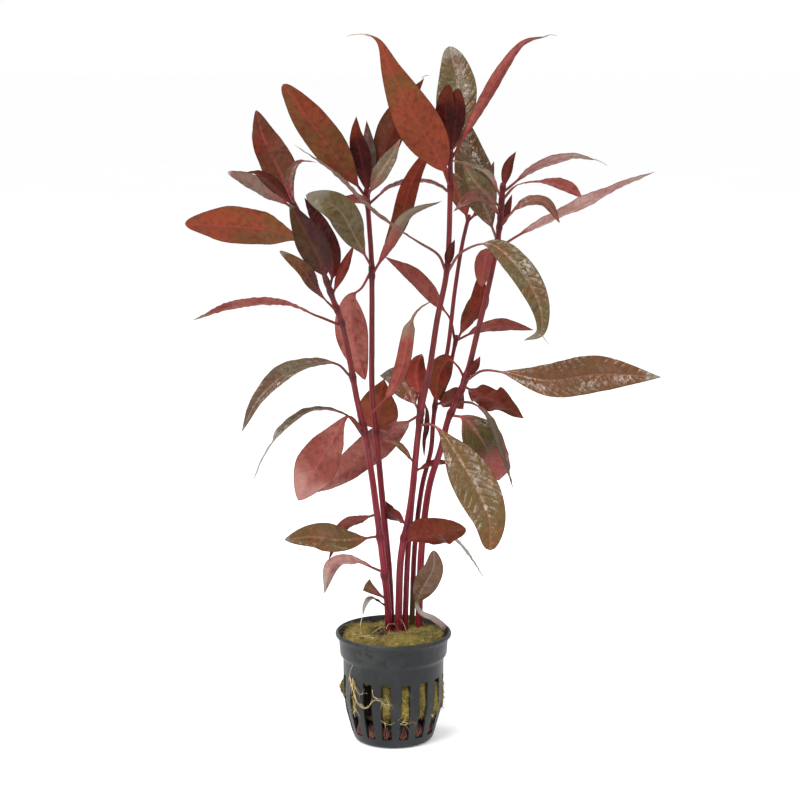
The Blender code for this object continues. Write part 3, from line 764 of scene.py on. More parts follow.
@dataclass
class Shell:
    """A piece while it is put together: points in millimetres, faces and surface coordinates."""
    points: list[Array] = field(default_factory=list)
    faces: list[Array] = field(default_factory=list)
    finish: list[Array] = field(default_factory=list)
    guide: list[Array] = field(default_factory=list)
    tone: list[Array] = field(default_factory=list)
    count: int = 0

    def add(self, points: Array, faces: Array, finish: Array, guide: Array, tone: Array) -> None:
        """Add a closed part.

        Args:
            points: Its points.
            faces: Its triangles, as rows of three point numbers.
            finish: Each triangle's material number.
            guide: Each point's surface coordinates.
            tone: Each point's lightness, mottling and dryness.
        """
        edge = points[faces[:, 1]] - points[faces[:, 0]], points[faces[:, 2]] - points[faces[:, 0]]
        volume = np.einsum("ij,ij->", points[faces[:, 0]], np.cross(*edge))
        if volume < 0:
            faces = faces[:, ::-1]
        self.points.append(points)
        self.faces.append(faces + self.count)
        self.finish.append(finish)
        self.guide.append(guide)
        self.tone.append(tone)
        self.count += len(points)

    def to_object(self, name: str, materials: list[bpy.types.Material]) -> bpy.types.Object:
        """Make the piece.

        Args:
            name: The piece's name.
            materials: Its materials, in the order of their numbers.

        Returns:
            The object, with its place in its mesh.
        """
        mesh = bpy.data.meshes.new(name)
        mesh.from_pydata((np.vstack(self.points) * MM).tolist(), [], np.vstack(self.faces).tolist())
        for material in materials:
            mesh.materials.append(material)
        mesh.polygons.foreach_set("material_index", np.concatenate(self.finish).astype(np.int32))
        for label, values in (("guide", self.guide), ("tone", self.tone)):
            layer = mesh.attributes.new(label, "FLOAT_VECTOR", "POINT")
            layer.data.foreach_set("vector", np.vstack(values).astype(np.float32).ravel())
        mesh.shade_smooth()
        return link_object(name, mesh)


def lattice(rows: int, columns: int) -> Array:
    """Triangles of a grid of points.

    Args:
        rows: Rows of points.
        columns: Points in a row.

    Returns:
        The triangles, two for each square of the grid.
    """
    row, column = np.meshgrid(np.arange(rows - 1), np.arange(columns - 1), indexing="ij")
    a = (row * columns + column).ravel()
    b, c, d = a + 1, a + columns + 1, a + columns
    return np.vstack((np.stack((a, b, c), 1), np.stack((a, c, d), 1)))


@dataclass(frozen=True)
class Leaf:
    """A leaf by the height it grows at and its midrib's route from there to the tip.

    tilt is the turn of the upper face from the sky (0) to the front (90), at the base and at the
    tip; petiole is the stalk's share of the length and stalk half its width; fold is the angle
    that each half of the blade rises from flat; belly is where the blade is widest; taper and tip
    say how slender its base and its tip are, from 0.5 (round) up; mottle and lean shift the
    patches on the whole blade and from one half to the other; dry is the tip's dried
    share, or the foot's where it is negative; pinch is where the blade draws in to a narrow strip.
    """
    name: str
    height: float
    route: tuple[Place, ...]
    width: float
    tilt: tuple[float, float]
    tone: Tone
    light: float = 1.0
    petiole: float = 0.1
    fold: float = 15.0
    wave: float = 0.05
    belly: float = 0.45
    taper: float = 1.05
    tip: float = 1.05
    stalk: float = 0.6
    blunt: bool = False
    crinkle: float = 0.16
    mottle: float = 0.0
    lean: float = 0.03
    dry: float = 0.05
    pinch: float = 0.0

    STEP = 0.62
    LEAST_ROWS = 14
    COLUMN_STEP = 1.7
    HALF_COLUMNS = (4, 9)
    THICK = 0.42
    STALK_THICK = 1.15
    THIN_EDGE = 0.5
    PINCHED = 0.72
    TIP_FROM = 0.9
    CUPPED = 0.07
    SURGE = 0.035
    QUILTED = 0.09
    RIB_WIDE = 0.55
    RIB_UP = 0.22
    RIB_DOWN = 0.30

    @property
    def stem(self) -> str:
        """The name of the stem that it grows on, or nothing for the plug's own leaf."""
        side = self.name.partition("_")[0]
        return {"side": "side_shoot", "pot": ""}.get(side, f"{side}_stem")

    @property
    def seed(self) -> int:
        """A fixed seed from the leaf's name."""
        return sum(ord(letter) * (k + 1) for k, letter in enumerate(self.name))

    def half_width(self, share: Array) -> Array:
        """Half the width at shares of the length, in millimetres.

        Args:
            share: Shares of the length, from 0 at the root to 1 at the tip.

        Returns:
            Half the width at each of them.
        """
        along = np.clip((share - self.petiole) / (1 - self.petiole), 0.0, 1.0)
        if self.blunt:
            return np.maximum(self.stalk * (1 - share * 0.4), along * self.width / 2)
        swell = np.sin(math.pi * along ** (math.log(0.5) / math.log(self.belly)))
        slender = self.taper + (self.tip - self.taper) * along
        blade = np.clip(swell, 0.0, None) ** slender * self.width / 2
        if self.pinch:
            blade *= 1 - self.PINCHED * soft_step(along, self.pinch - 0.05, self.pinch + 0.05)
        stalk = self.stalk * (1 - share)
        return (blade ** 4 + stalk ** 4) ** 0.25

    def _relief(self, a: Array, h: Array, angle: Array, blade: Array, mm_along: Array,
                s: Array) -> Array:
        """How far the surface rises off flat: fold, waves, quilting and crinkles.

        Args:
            a: The share of the half width, from -1 to 1.
            h: Half the width, in millimetres.
            angle: The fold's angle, in radians.
            blade: How far each point belongs to the blade, from 0 on the stalk to 1.
            mm_along: The distance along the midrib, in millimetres.
            s: The share of the length.

        Returns:
            The rise in millimetres.
        """
        far, seed = a * h, self.seed
        inner = blade * (1 - soft_step(s, self.TIP_FROM, 1.0))
        rise = (np.sqrt(a * a + 0.012) - 0.11) * h * np.sin(angle)
        slack = self.wave * min(1.0, self.width / WAVY_WIDTH)
        rise -= a * slack * h * 2 * np.sin(math.tau * WAVE_TURNS * s)
        rise += inner * h * self.CUPPED * np.sin(math.pi * np.clip(np.abs(a), 0, 1))
        rise += inner * a * a * self.SURGE * h * waves(mm_along * 0.55, a * 0.8, seed + 3)
        drift = 0.4 * waves(mm_along * 0.3, a * 1.6, seed + 9)
        cell = (mm_along - np.abs(far) * 0.8) / self.tone.value[0].spacing + drift
        quilt = np.sin(math.pi * cell) ** 2 - 0.5
        puffed = inner * (1 - np.abs(a) ** 3) * np.minimum(1, np.abs(far) / 1.2)
        rise += puffed * self.QUILTED * quilt
        rise += inner * self.crinkle * waves(mm_along * 1.5, far * 1.9, seed, 7)
        return rise

    def _dried(self, a: Array, s: Array) -> Array:
        """How dry each point is, from the tip inward or from the foot upward.

        Args:
            a: The share of the half width, from -1 to 1.
            s: The share of the length.

        Returns:
            The dryness, from 0 to 1.
        """
        if self.dry < 0:
            return 1 - soft_step(s, -self.dry * 0.8, -self.dry * 1.2)
        return soft_step(s + a * a * self.dry * 0.3, 1 - self.dry * 1.6, 1.001 - self.dry * 0.2)

    def _faces(self, rows: int, columns: int) -> tuple[Array, int]:
        """The triangles of both faces and both ends.

        Args:
            rows: Rows of points along the leaf.
            columns: Points across each face.

        Returns:
            The triangles, the upper face's first, and how many of them the upper face has.
        """
        count = rows * columns
        upper = lattice(rows, columns)
        number = np.arange(count).reshape(rows, columns)
        number[:, 1:-1] = count + np.arange(rows * (columns - 2)).reshape(rows, columns - 2)
        lower = number.ravel()[upper][:, ::-1]
        foot = self._cap(np.arange(columns), number[0])
        end = self._cap(np.arange(count - columns, count), number[-1])[:, ::-1]
        return np.vstack((upper, lower, foot, end)), len(upper)

    def grow(self, shell: Shell, start: Array, first_finish: int = 0) -> None:
        """Add the leaf's closed form to a shell.

        Args:
            shell: The piece that it is part of.
            start: The root's place.
            first_finish: The upper face's material number; the lower face's follows it.
        """
        route = np.vstack((start, np.array(self.route, float)))
        length = route_length(route)
        rows = max(self.LEAST_ROWS, int(length / self.STEP))
        fewest, most = self.HALF_COLUMNS
        columns = 2 * max(fewest, min(most, int(self.width / self.COLUMN_STEP))) + 1
        share = np.linspace(0.0, 1.0, rows)
        centre = smooth_route(route, rows)
        along = directions(centre)
        tilt = np.radians(self.tilt[0] + (self.tilt[1] - self.tilt[0]) * share)[:, None]
        goal = UP * np.cos(tilt) + FRONT * np.sin(tilt)
        face = unit(goal - along * np.sum(goal * along, axis=1, keepdims=True))
        side = np.cross(along, face)
        half = self.half_width(share)
        if not self.blunt:
            half[-1] = 0.0

        a, s = np.meshgrid(np.sin(np.linspace(-1.0, 1.0, columns) * math.pi / 2), share)
        h = half[:, None]
        blade = soft_step(s, self.petiole * 0.8, self.petiole + 0.12)
        angle = math.radians(self.fold) * np.minimum(1.0, h / self.width * 4)
        far, mm_along = a * h, s * length
        rise = self._relief(a, h, angle, blade, mm_along, s)
        rib = np.exp(-(far / self.RIB_WIDE) ** 2) * blade * (1 - 0.7 * s)
        thick = (self.STALK_THICK * (1 - blade) + self.THICK * blade) * (1 - 0.45 * s)
        thick *= np.sqrt(np.clip(1 - a * a, 0, 1))
        thick *= np.clip(h / self.THIN_EDGE, 0.15, 1.0)

        base = (centre[:, None] + side[:, None] * (far * np.cos(angle))[..., None]
                + face[:, None] * rise[..., None])
        upper = base + face[:, None] * (thick / 2 - self.RIB_UP * rib)[..., None]
        lower = base - face[:, None] * (thick / 2 + self.RIB_DOWN * rib)[..., None]
        if not self.blunt:
            upper[-1] = lower[-1] = centre[-1]
        guide = np.stack((far, mm_along, a), axis=-1)
        tone = np.stack((np.full_like(s, self.light), self.mottle + self.lean * a,
                         self._dried(a, s)), axis=-1)
        points, guides, tones = (np.vstack((top.reshape(-1, 3), low[:, 1:-1].reshape(-1, 3)))
                                 for top, low in ((upper, lower), (guide, guide), (tone, tone)))
        faces, uppers = self._faces(rows, columns)
        finish = np.full(len(faces), first_finish + 1)
        finish[:uppers] = first_finish
        points, faces, keep, used = self._weld_tip(points, faces)
        shell.add(points, faces, finish[keep], guides[used], tones[used])

    @staticmethod
    def _cap(top: Array, low: Array) -> Array:
        """Close the end between an upper row and a lower row of the same margins.

        Args:
            top: Point numbers of the upper row.
            low: Point numbers of the lower row.

        Returns:
            The triangles.
        """
        made = []
        for k in range(len(top) - 1):
            if low[k + 1] != top[k + 1]:
                made.append((top[k], low[k + 1], top[k + 1]))
            if low[k] != top[k]:
                made.append((top[k], low[k], low[k + 1]))
        return np.array(made)

    @staticmethod
    def _weld_tip(points: Array, faces: Array) -> tuple[Array, Array, Array, Array]:
        """Merge points that share a place, as at the tip, and drop the faces that collapse.

        Args:
            points: The points.
            faces: The triangles.

        Returns:
            The points and triangles that are left, and the old numbers of both.
        """
        _, first, same = np.unique(np.round(points, 5), axis=0, return_index=True,
                                   return_inverse=True)
        merged = first[same.reshape(-1)][faces]
        keep = ((merged[:, 0] != merged[:, 1]) & (merged[:, 1] != merged[:, 2])
                & (merged[:, 0] != merged[:, 2]))
        used, renumbered = np.unique(merged[keep], return_inverse=True)
        return points[used], renumbered.reshape(-1, 3), keep, used


@dataclass(frozen=True)
class StemRoute:
    """A stem's route from its foot up, its radius at the foot and at the top."""
    route: tuple[Place, ...]
    foot_radius: float
    top_radius: float
    rooted: bool = True
    green: float = 0.0

    SIDES = 18
    STEP = 1.3
    SAMPLES = 60
    RIBS = 5
    RIBBED = 0.035
    UNEVEN = 0.02
    GREEN_UP_TO = (50.0, 66.0)

    def at(self, height: float) -> tuple[Array, Array, float]:
        """The stem at a height.

        Args:
            height: Height above the pot's underside, in millimetres.

        Returns:
            The centre, the direction and the radius there.
        """
        points = smooth_route(self.route, self.SAMPLES)
        nearest = int(np.argmin(np.abs(points[:, 2] - height)))
        share = nearest / (self.SAMPLES - 1)
        radius = self.foot_radius + (self.top_radius - self.foot_radius) * share
        return points[nearest], directions(points)[nearest], radius

    def grow(self, shell: Shell, nodes: list[float], seed: int) -> None:
        """Add the stem's closed tube, swollen at its nodes and faintly ribbed.

        Args:
            shell: The piece that it is part of.
            nodes: The heights of its nodes.
            seed: Fixed seed.
        """
        route = np.array(self.route, float)
        if self.rooted:
            start = route[0] - unit(route[1] - route[0]) * STEM_DEPTH
            route = np.vstack((start, route))
        length = route_length(route)
        rows = int(length / self.STEP)
        centre = smooth_route(route, rows)
        along = directions(centre)
        share = np.linspace(0.0, 1.0, rows)
        radius = self.foot_radius + (self.top_radius - self.foot_radius) * share
        close = np.zeros(rows)
        for height in nodes:
            close = np.maximum(close, np.exp(-((centre[:, 2] - height) / (NODE_REACH * 0.62)) ** 2))
        radius = radius * (1 + NODE_SWELL * close)
        side = unit(np.cross(along, FRONT))
        other = np.cross(along, side)
        turn = np.linspace(0, math.tau, self.SIDES, endpoint=False)
        t, r = np.meshgrid(turn, radius)
        ribs = 1 + self.RIBBED * np.sin(t * self.RIBS + seed)
        ribs += self.UNEVEN * waves(share[:, None] * length * 0.8, t * 1.3, seed)
        ring = side[:, None] * np.cos(t)[..., None] + other[:, None] * np.sin(t)[..., None]
        points = (centre[:, None] + ring * (r * ribs)[..., None]).reshape(-1, 3)
        number = np.arange(rows * self.SIDES).reshape(rows, self.SIDES)
        wrapped = np.hstack((number, number[:, :1]))
        faces = wrapped.ravel()[lattice(rows, self.SIDES + 1)]
        ends = []
        points = np.vstack((points, centre[0], centre[-1] + along[-1] * self.top_radius * 0.4))
        foot, top = rows * self.SIDES, rows * self.SIDES + 1
        for k in range(self.SIDES):
            after = (k + 1) % self.SIDES
            ends.append((number[0, after], number[0, k], foot))
            ends.append((number[-1, k], number[-1, after], top))
        faces = np.vstack((faces, np.array(ends)))
        mm_along = np.repeat(share * length, self.SIDES)
        guide = np.stack((np.abs(np.tile(turn, rows) - math.pi), mm_along,
                          np.repeat(close, self.SIDES)), axis=1)
        guide = np.vstack((guide, (0.0, 0.0, 0.0), (0.0, length, 0.0)))
        green = self.green * (1 - soft_step(points[:, 2], *self.GREEN_UP_TO))
        tone = np.stack((np.ones_like(green), np.zeros_like(green), green), axis=1)
        shell.add(points, faces, np.zeros(len(faces)), guide, tone)


STEMS: dict[str, StemRoute] = {
    "left_stem": StemRoute(
        ((-2, 7, 46), (-3, 5, 63), (-7, 2, 98), (-11, -2, 128), (-15, -4, 147),
         (-18, -5, 164), (-21, -7, 179), (-25, -9, 191), (-31, -10, 208), (-37, -10, 222),
         (-41, -10, 230)),
        1.6, 1.0),
    "mid_stem": StemRoute(
        ((-1, 12, 46), (-2, 12, 70), (-5, 11, 104), (-7, 10, 127), (-9, 9, 149), (-9, 8, 171),
         (-9, 7, 201), (-10, 6, 219), (-11, 5, 234)),
        1.5, 1.0),
    "centre_stem": StemRoute(
        ((2, 7, 46), (3, 6, 76), (6, 5, 93), (8, 3, 107), (10, 0, 129), (12, -2, 145),
         (15, -4, 160), (18, -7, 181), (22, -10, 203), (23, -12, 231), (23, -13, 251)),
        1.6, 1.0),
    "back_stem": StemRoute(
        ((5, 10, 46), (6, 9, 75), (8, 9, 102), (10, 8, 124), (11, 6, 141), (12, 7, 150)),
        1.3, 1.0),
    "thin_stem": StemRoute(
        ((8, 14, 46), (9, 13, 78), (12, 14, 105), (16, 15, 122), (17, 15, 135), (19, 16, 150),
         (23, 17, 165), (26, 19, 190), (29, 21, 209), (32, 22, 222)),
        1.2, 0.8, green=0.9),
    "right_stem": StemRoute(
        ((11, 12, 46), (12, 9, 79), (15, 6, 107), (20, 3, 125), (23, 1, 138), (27, 0, 147),
         (31, -2, 159), (35, -3, 176), (39, -3, 193), (43, -3, 214), (45, -3, 237)),
        1.6, 1.0),
    "side_shoot": StemRoute(
        ((20, 19, 143), (22, 19, 149), (24, 19, 154), (25, 19, 161), (27, 20, 171)),
        0.9, 0.8, rooted=False),
}

LEAVES: tuple[Leaf, ...] = (
    Leaf("left_leaf_top_red", 229, ((-46, 2, 240), (-53, 10, 253), (-57, 16, 266)), 15.5,
         (-75, -70), Tone.BRICK, 0.9, fold=20, tip=0.8, mottle=0.05, dry=0.0),
    Leaf("left_leaf_top_grey", 227, ((-48, -8, 232), (-58, -3, 237), (-68, 2, 241)), 8.5,
         (-60, -65), Tone.SILVER, 0.85, tip=0.55, lean=-0.05),
    Leaf("left_leaf_big_copper", 204, ((-38, -7, 214), (-57, 3, 218), (-87, 12, 219)), 17.5,
         (-65, -75), Tone.COPPER, 1.15, petiole=0.16, fold=10, belly=0.54, taper=1.2, tip=0.6,
         dry=0.0, mottle=0.02),
    Leaf("left_leaf_olive_fold", 197, ((-29.5, -18, 207), (-35.5, -22, 219), (-41, -24, 230)), 13,
         (75, 70), Tone.DUSK, 0.54, petiole=0.08, fold=15, lean=0.45, tip=0.8),
    Leaf("left_leaf_plum", 193, ((-25, -1, 204), (-31, 6, 219), (-37, 12, 230)), 10.5, (-70, -75),
         Tone.MAROON, 1.0, fold=30, dry=0.0),
    Leaf("left_leaf_brown", 186, ((-31, -19, 195), (-36, -27, 204), (-45, -31, 212)), 6.8,
         (55, 70), Tone.DUSK, 0.95, fold=25, belly=0.6, tip=0.7, dry=0.08, taper=1.6, mottle=-0.1),
    Leaf("left_leaf_long_thin", 180, ((-31, -9, 183), (-45, -2, 187), (-66, 8, 185),
         (-85, 16, 178)), 8.5, (-28, -38), Tone.ROSE, 1.0, petiole=0.14, dry=0.15, wave=0.02),
    Leaf("left_leaf_olive_droop", 157, ((-25, -12, 164), (-42, -24, 162), (-54, -32, 152),
         (-61, -34, 139)), 9.5, (25, 50), Tone.SILVER, 0.85, petiole=0.14, fold=30),
    Leaf("left_leaf_curled_thin", 133, ((-20, -8, 142), (-33, -16, 145), (-44, -23, 139),
         (-52, -26, 129), (-57, -28, 118)), 5.2, (15, 15), Tone.SILVER, 0.95, petiole=0.16,
         fold=25, dry=0.3, pinch=0.66, tip=0.5),
    Leaf("left_leaf_hanging_red", 136, ((-19, -9, 141), (-26, -16, 131), (-33, -19, 119),
         (-39, -20, 108)), 18, (-70, -80), Tone.BLUSH, 0.97, petiole=0.12, fold=12, belly=0.62,
         taper=1.25, tip=0.8, dry=0.2, lean=-0.05),
    Leaf("left_leaf_pinched_pink", 137, ((-5, -11, 147), (0, -15, 154), (4, -18, 165),
         (7, -20, 181), (11, -22, 188), (19, -20, 192)), 6.5, (-80, -80), Tone.ROSE, 1.05,
         petiole=0.25, fold=20, belly=0.36, taper=0.7, tip=0.8, dry=0.3, pinch=0.66),
    Leaf("left_leaf_low_olive", 87, ((-20, -7, 88), (-33, -13, 91), (-45, -18, 91)), 12.5,
         (55, 65), Tone.BRONZE, 1.05, belly=0.52, tip=0.8),
    Leaf("left_leaf_low_pink", 70, ((-16, 7, 75), (-26, 12, 72), (-30, 14, 59)), 8, (-35, -70),
         Tone.PALE, 1.15, fold=20, dry=0.25),
    Leaf("mid_leaf_tall_copper", 232, ((-21, -5, 245), (-34, -12, 263), (-44, -14, 277)), 15,
         (-80, -80), Tone.COPPER, 1.0, belly=0.5, taper=0.95, tip=0.55, mottle=0.06, dry=0.0),
    Leaf("mid_leaf_dark_red", 233, ((-4, 14, 249), (2, 22, 263), (13, 28, 279)), 12.5, (-75, -70),
         Tone.BRICK, 0.8, petiole=0.08, dry=0.0),
    Leaf("mid_leaf_thin_arch", 228, ((-1, 17, 234), (12, 22, 236), (21, 22, 233), (27, 19, 227)),
         6, (10, 10), Tone.ROSE, 1.1, petiole=0.15, fold=20),
    Leaf("mid_leaf_olive", 201, ((-15, -7, 214), (-22, -14, 227), (-35, -17, 233)), 13, (70, 80),
         Tone.OLIVE, 0.9, petiole=0.12, belly=0.6, taper=1.0, tip=0.6, dry=0.15, mottle=-0.15),
    Leaf("mid_leaf_hanging_pink", 198, ((-13, 7, 193), (-18, 8, 187), (-17, 10, 170),
         (-12, 12, 153)), 14, (-85, -85), Tone.BLUSH, 1.2, petiole=0.2, fold=12, tip=0.75, dry=0.0),
    Leaf("mid_leaf_dark_copper", 200, ((2, 12, 218), (8, 14, 237), (18, 12, 255)), 8.5,
         (-65, -70), Tone.BRICK, 1.25, mottle=-0.05, dry=0.0),
    Leaf("mid_leaf_purple", 200, ((-1, -3, 212), (6, -7, 224), (20, -7, 230)), 5.5, (-50, -60),
         Tone.ROSE, 0.95, fold=20, dry=0.5),
    Leaf("mid_leaf_inner_copper", 131, ((-7, 14, 135), (-6, 18, 143), (-4, 22, 152)), 18,
         (-80, -80), Tone.COPPER, 1.35, petiole=0.03, fold=10, belly=0.34, taper=0.7),
    Leaf("centre_leaf_crown", 236, ((18, -20, 248), (8, -27, 265), (0, -28, 281), (-5, -28, 293),
         (-11, -27, 297)), 18, (-80, -85), Tone.COPPER, 1.12, fold=12, belly=0.33, taper=1.2,
         tip=1.4, dry=0.08, mottle=-0.01),
    Leaf("centre_leaf_grey_olive", 249, ((25, -1, 264), (26, 7, 278), (23, 14, 292)), 17,
         (80, 80), Tone.OLIVE, 0.9, petiole=0.06, belly=0.5, taper=0.85, tip=0.55, lean=0.08,
         dry=0.1),
    Leaf("centre_leaf_pink_lance", 249, ((34, -15, 266), (44, -14, 283), (52, -12, 293),
         (62, -10, 296)), 5.5, (-55, -60), Tone.ROSE, 0.95, fold=20, lean=0.2, dry=0.1),
    Leaf("centre_leaf_edge_on", 203, ((18, -15, 209), (9, -18, 215), (-8, -24, 227),
         (-24, -29, 243), (-39, -31, 254)), 6, (5, -10), Tone.SILVER, 1.0, petiole=0.25, dry=0.0),
    Leaf("centre_leaf_olive_hook", 203, ((28, -15, 210), (39, -26, 214), (50, -38, 205),
         (57, -44, 193), (58, -46.6, 182), (51, -46, 178)), 11.5, (55, 75), Tone.OLIVE, 0.95,
         petiole=0.28, fold=22, belly=0.42, mottle=0.04, dry=0.1),
    Leaf("centre_leaf_gold_droop", 138, ((18, -12, 137), (28, -25, 125), (38, -38, 107),
         (39, -44, 93)), 18, (70, 75), Tone.BRONZE, 1.1, fold=12, belly=0.58, taper=1.5, tip=0.5,
         mottle=0.03, dry=0.0),
    Leaf("centre_leaf_low_pink", 141, ((1, 14, 131), (-14, 23, 117), (-28, 24, 106),
         (-38, 20, 102)), 15, (-70, -80), Tone.BLUSH, 1.0, petiole=0.12, dry=0.25, lean=0.1),
    Leaf("centre_leaf_low_copper", 86, ((12, -4, 89), (20, -13, 93), (30, -19, 96)), 17.5,
         (-65, -70), Tone.BRICK, 1.15, petiole=0.08, fold=10, tip=0.6, dry=0.0, wave=0.02),
    Leaf("back_leaf_grey_green", 142, ((5, 14, 150), (1, 20, 153), (-6, 24, 153)), 13, (70, 70),
         Tone.BRONZE, 0.9, mottle=0.08, dry=0.2),
    Leaf("back_leaf_brown", 146, ((10, 12, 153), (10, 14, 158), (12, 14, 164)), 11, (-75, -75),
         Tone.BRICK, 1.25, fold=30, tip=0.8),
    Leaf("thin_leaf_orange", 141, ((23, 18, 143), (26, 20, 143), (30, 20, 139)), 12, (-60, -60),
         Tone.COPPER),
    Leaf("right_leaf_tall_olive", 213, ((38, 6, 226), (33, 16, 242), (30, 24, 264)), 16.5,
         (80, 80), Tone.OLIVE, 0.85, mottle=0.14),
    Leaf("right_leaf_brown", 227, ((39, -8, 232), (33, -12, 238), (28, -13, 246)), 9, (60, 70),
         Tone.OLIVE),
    Leaf("right_leaf_grey_arch", 223, ((37, -17, 231), (31, -22, 232), (24, -25, 227)), 8.5,
         (35, 50), Tone.ROSE, 0.85),
    Leaf("right_leaf_pink_upper", 235, ((57, -9, 243), (71, -13, 248), (82, -15, 247)), 5.5,
         (-40, -50), Tone.PALE, 0.85, petiole=0.14, dry=0.25),
    Leaf("right_leaf_red_arch", 230, ((52, 6, 236), (65, 16, 236), (74, 22, 233), (80, 24, 229)),
         8, (20, -60), Tone.ROSE, 1.2, petiole=0.14, belly=0.68, dry=0.0, lean=0.1),
    Leaf("right_leaf_long_pink", 212, ((54, -11, 218), (73, -19, 228), (90, -24, 237),
         (104, -26, 243)), 7.5, (-35, -40), Tone.PALE, 0.95, petiole=0.14, dry=0.15, wave=0.1),
    Leaf("right_leaf_brown_arch", 219, ((52, -14, 229), (61, -18, 230), (67, -20, 222)), 6.5,
         (35, 45), Tone.ROSE, 1.12, petiole=0.14, tip=0.8),
    Leaf("right_leaf_hanging_pink", 210, ((39, 6, 208), (38, 12, 201), (37, 16, 192)), 8.5,
         (-80, -80), Tone.ROSE, 1.05, petiole=0.15, belly=0.55, tip=0.7, dry=0.0),
    Leaf("right_leaf_big_brown", 157, ((37, -7, 160), (46, -12, 160), (64, -20, 158),
         (83, -29, 162), (107, -36, 162)), 16.5, (60, 75), Tone.BRONZE, 0.9, petiole=0.2, fold=12,
         belly=0.5, mottle=-0.08, lean=0.05, dry=0.08),
    Leaf("right_leaf_wavy_red", 151, ((37, 8, 147), (46, 16, 142), (56, 20, 135)), 12.5,
         (-70, -70), Tone.BRICK, 1.1, petiole=0.08, wave=0.14, dry=0.0),
    Leaf("right_leaf_edge_strip", 147, ((34, -8, 146), (40, -13, 140), (45, -15, 126),
         (50, -15, 111)), 4.5, (8, 12), Tone.SILVER, 0.62, petiole=0.15),
    Leaf("right_leaf_dark_olive", 141, ((30, -3, 139), (36, -6, 132), (41, -4, 123),
         (47, 2, 114)), 17, (70, 70), Tone.SHADE, 1.3, petiole=0.08, dry=0.4, taper=1.5, tip=0.3),
    Leaf("right_leaf_maroon_droop", 155, ((27, 4, 160), (23, 8, 162), (19, 9, 155), (18, 8, 144)),
         11, (-60, -80), Tone.BRICK, 1.2, petiole=0.3, fold=20, dry=0.0),
    Leaf("right_leaf_low_thin", 86, ((21, 2, 89), (29, -6, 85), (39, -9, 71)), 2.4, (0, 5),
         Tone.SILVER, 0.8, petiole=0.2, dry=0.9),
    Leaf("side_leaf_dark_red", 168, ((32, 27, 177), (37, 31, 184), (37, 32, 195)), 9.5,
         (-70, -70), Tone.BRICK, 1.15, fold=20, belly=0.55, tip=0.7, dry=0.0),
    Leaf("side_leaf_copper", 169, ((37, 17, 174), (47, 20, 175), (60, 22, 173)), 7.5, (-55, -60),
         Tone.ROSE, 0.9, petiole=0.14, dry=0.0),
    Leaf("side_leaf_pink", 169, ((24, 22, 178), (18, 26, 185), (9, 28, 195), (-4, 28, 204)), 8,
         (-55, -70), Tone.ROSE, 0.95, petiole=0.26),
    Leaf("pot_leaf", 0, ((21, 6, 47), (17, 5, 50.5), (12, 3, 53.5), (10, 0.5, 58), (11.5, -2, 64),
         (14.5, -4, 70), (17, -5.5, 76), (17, -6, 83.5)), 10.5, (60, 70), Tone.SILVER, 0.95,
         petiole=0.4, belly=0.52, tip=0.6, stalk=1.7, dry=-0.46, mottle=0.14),
)

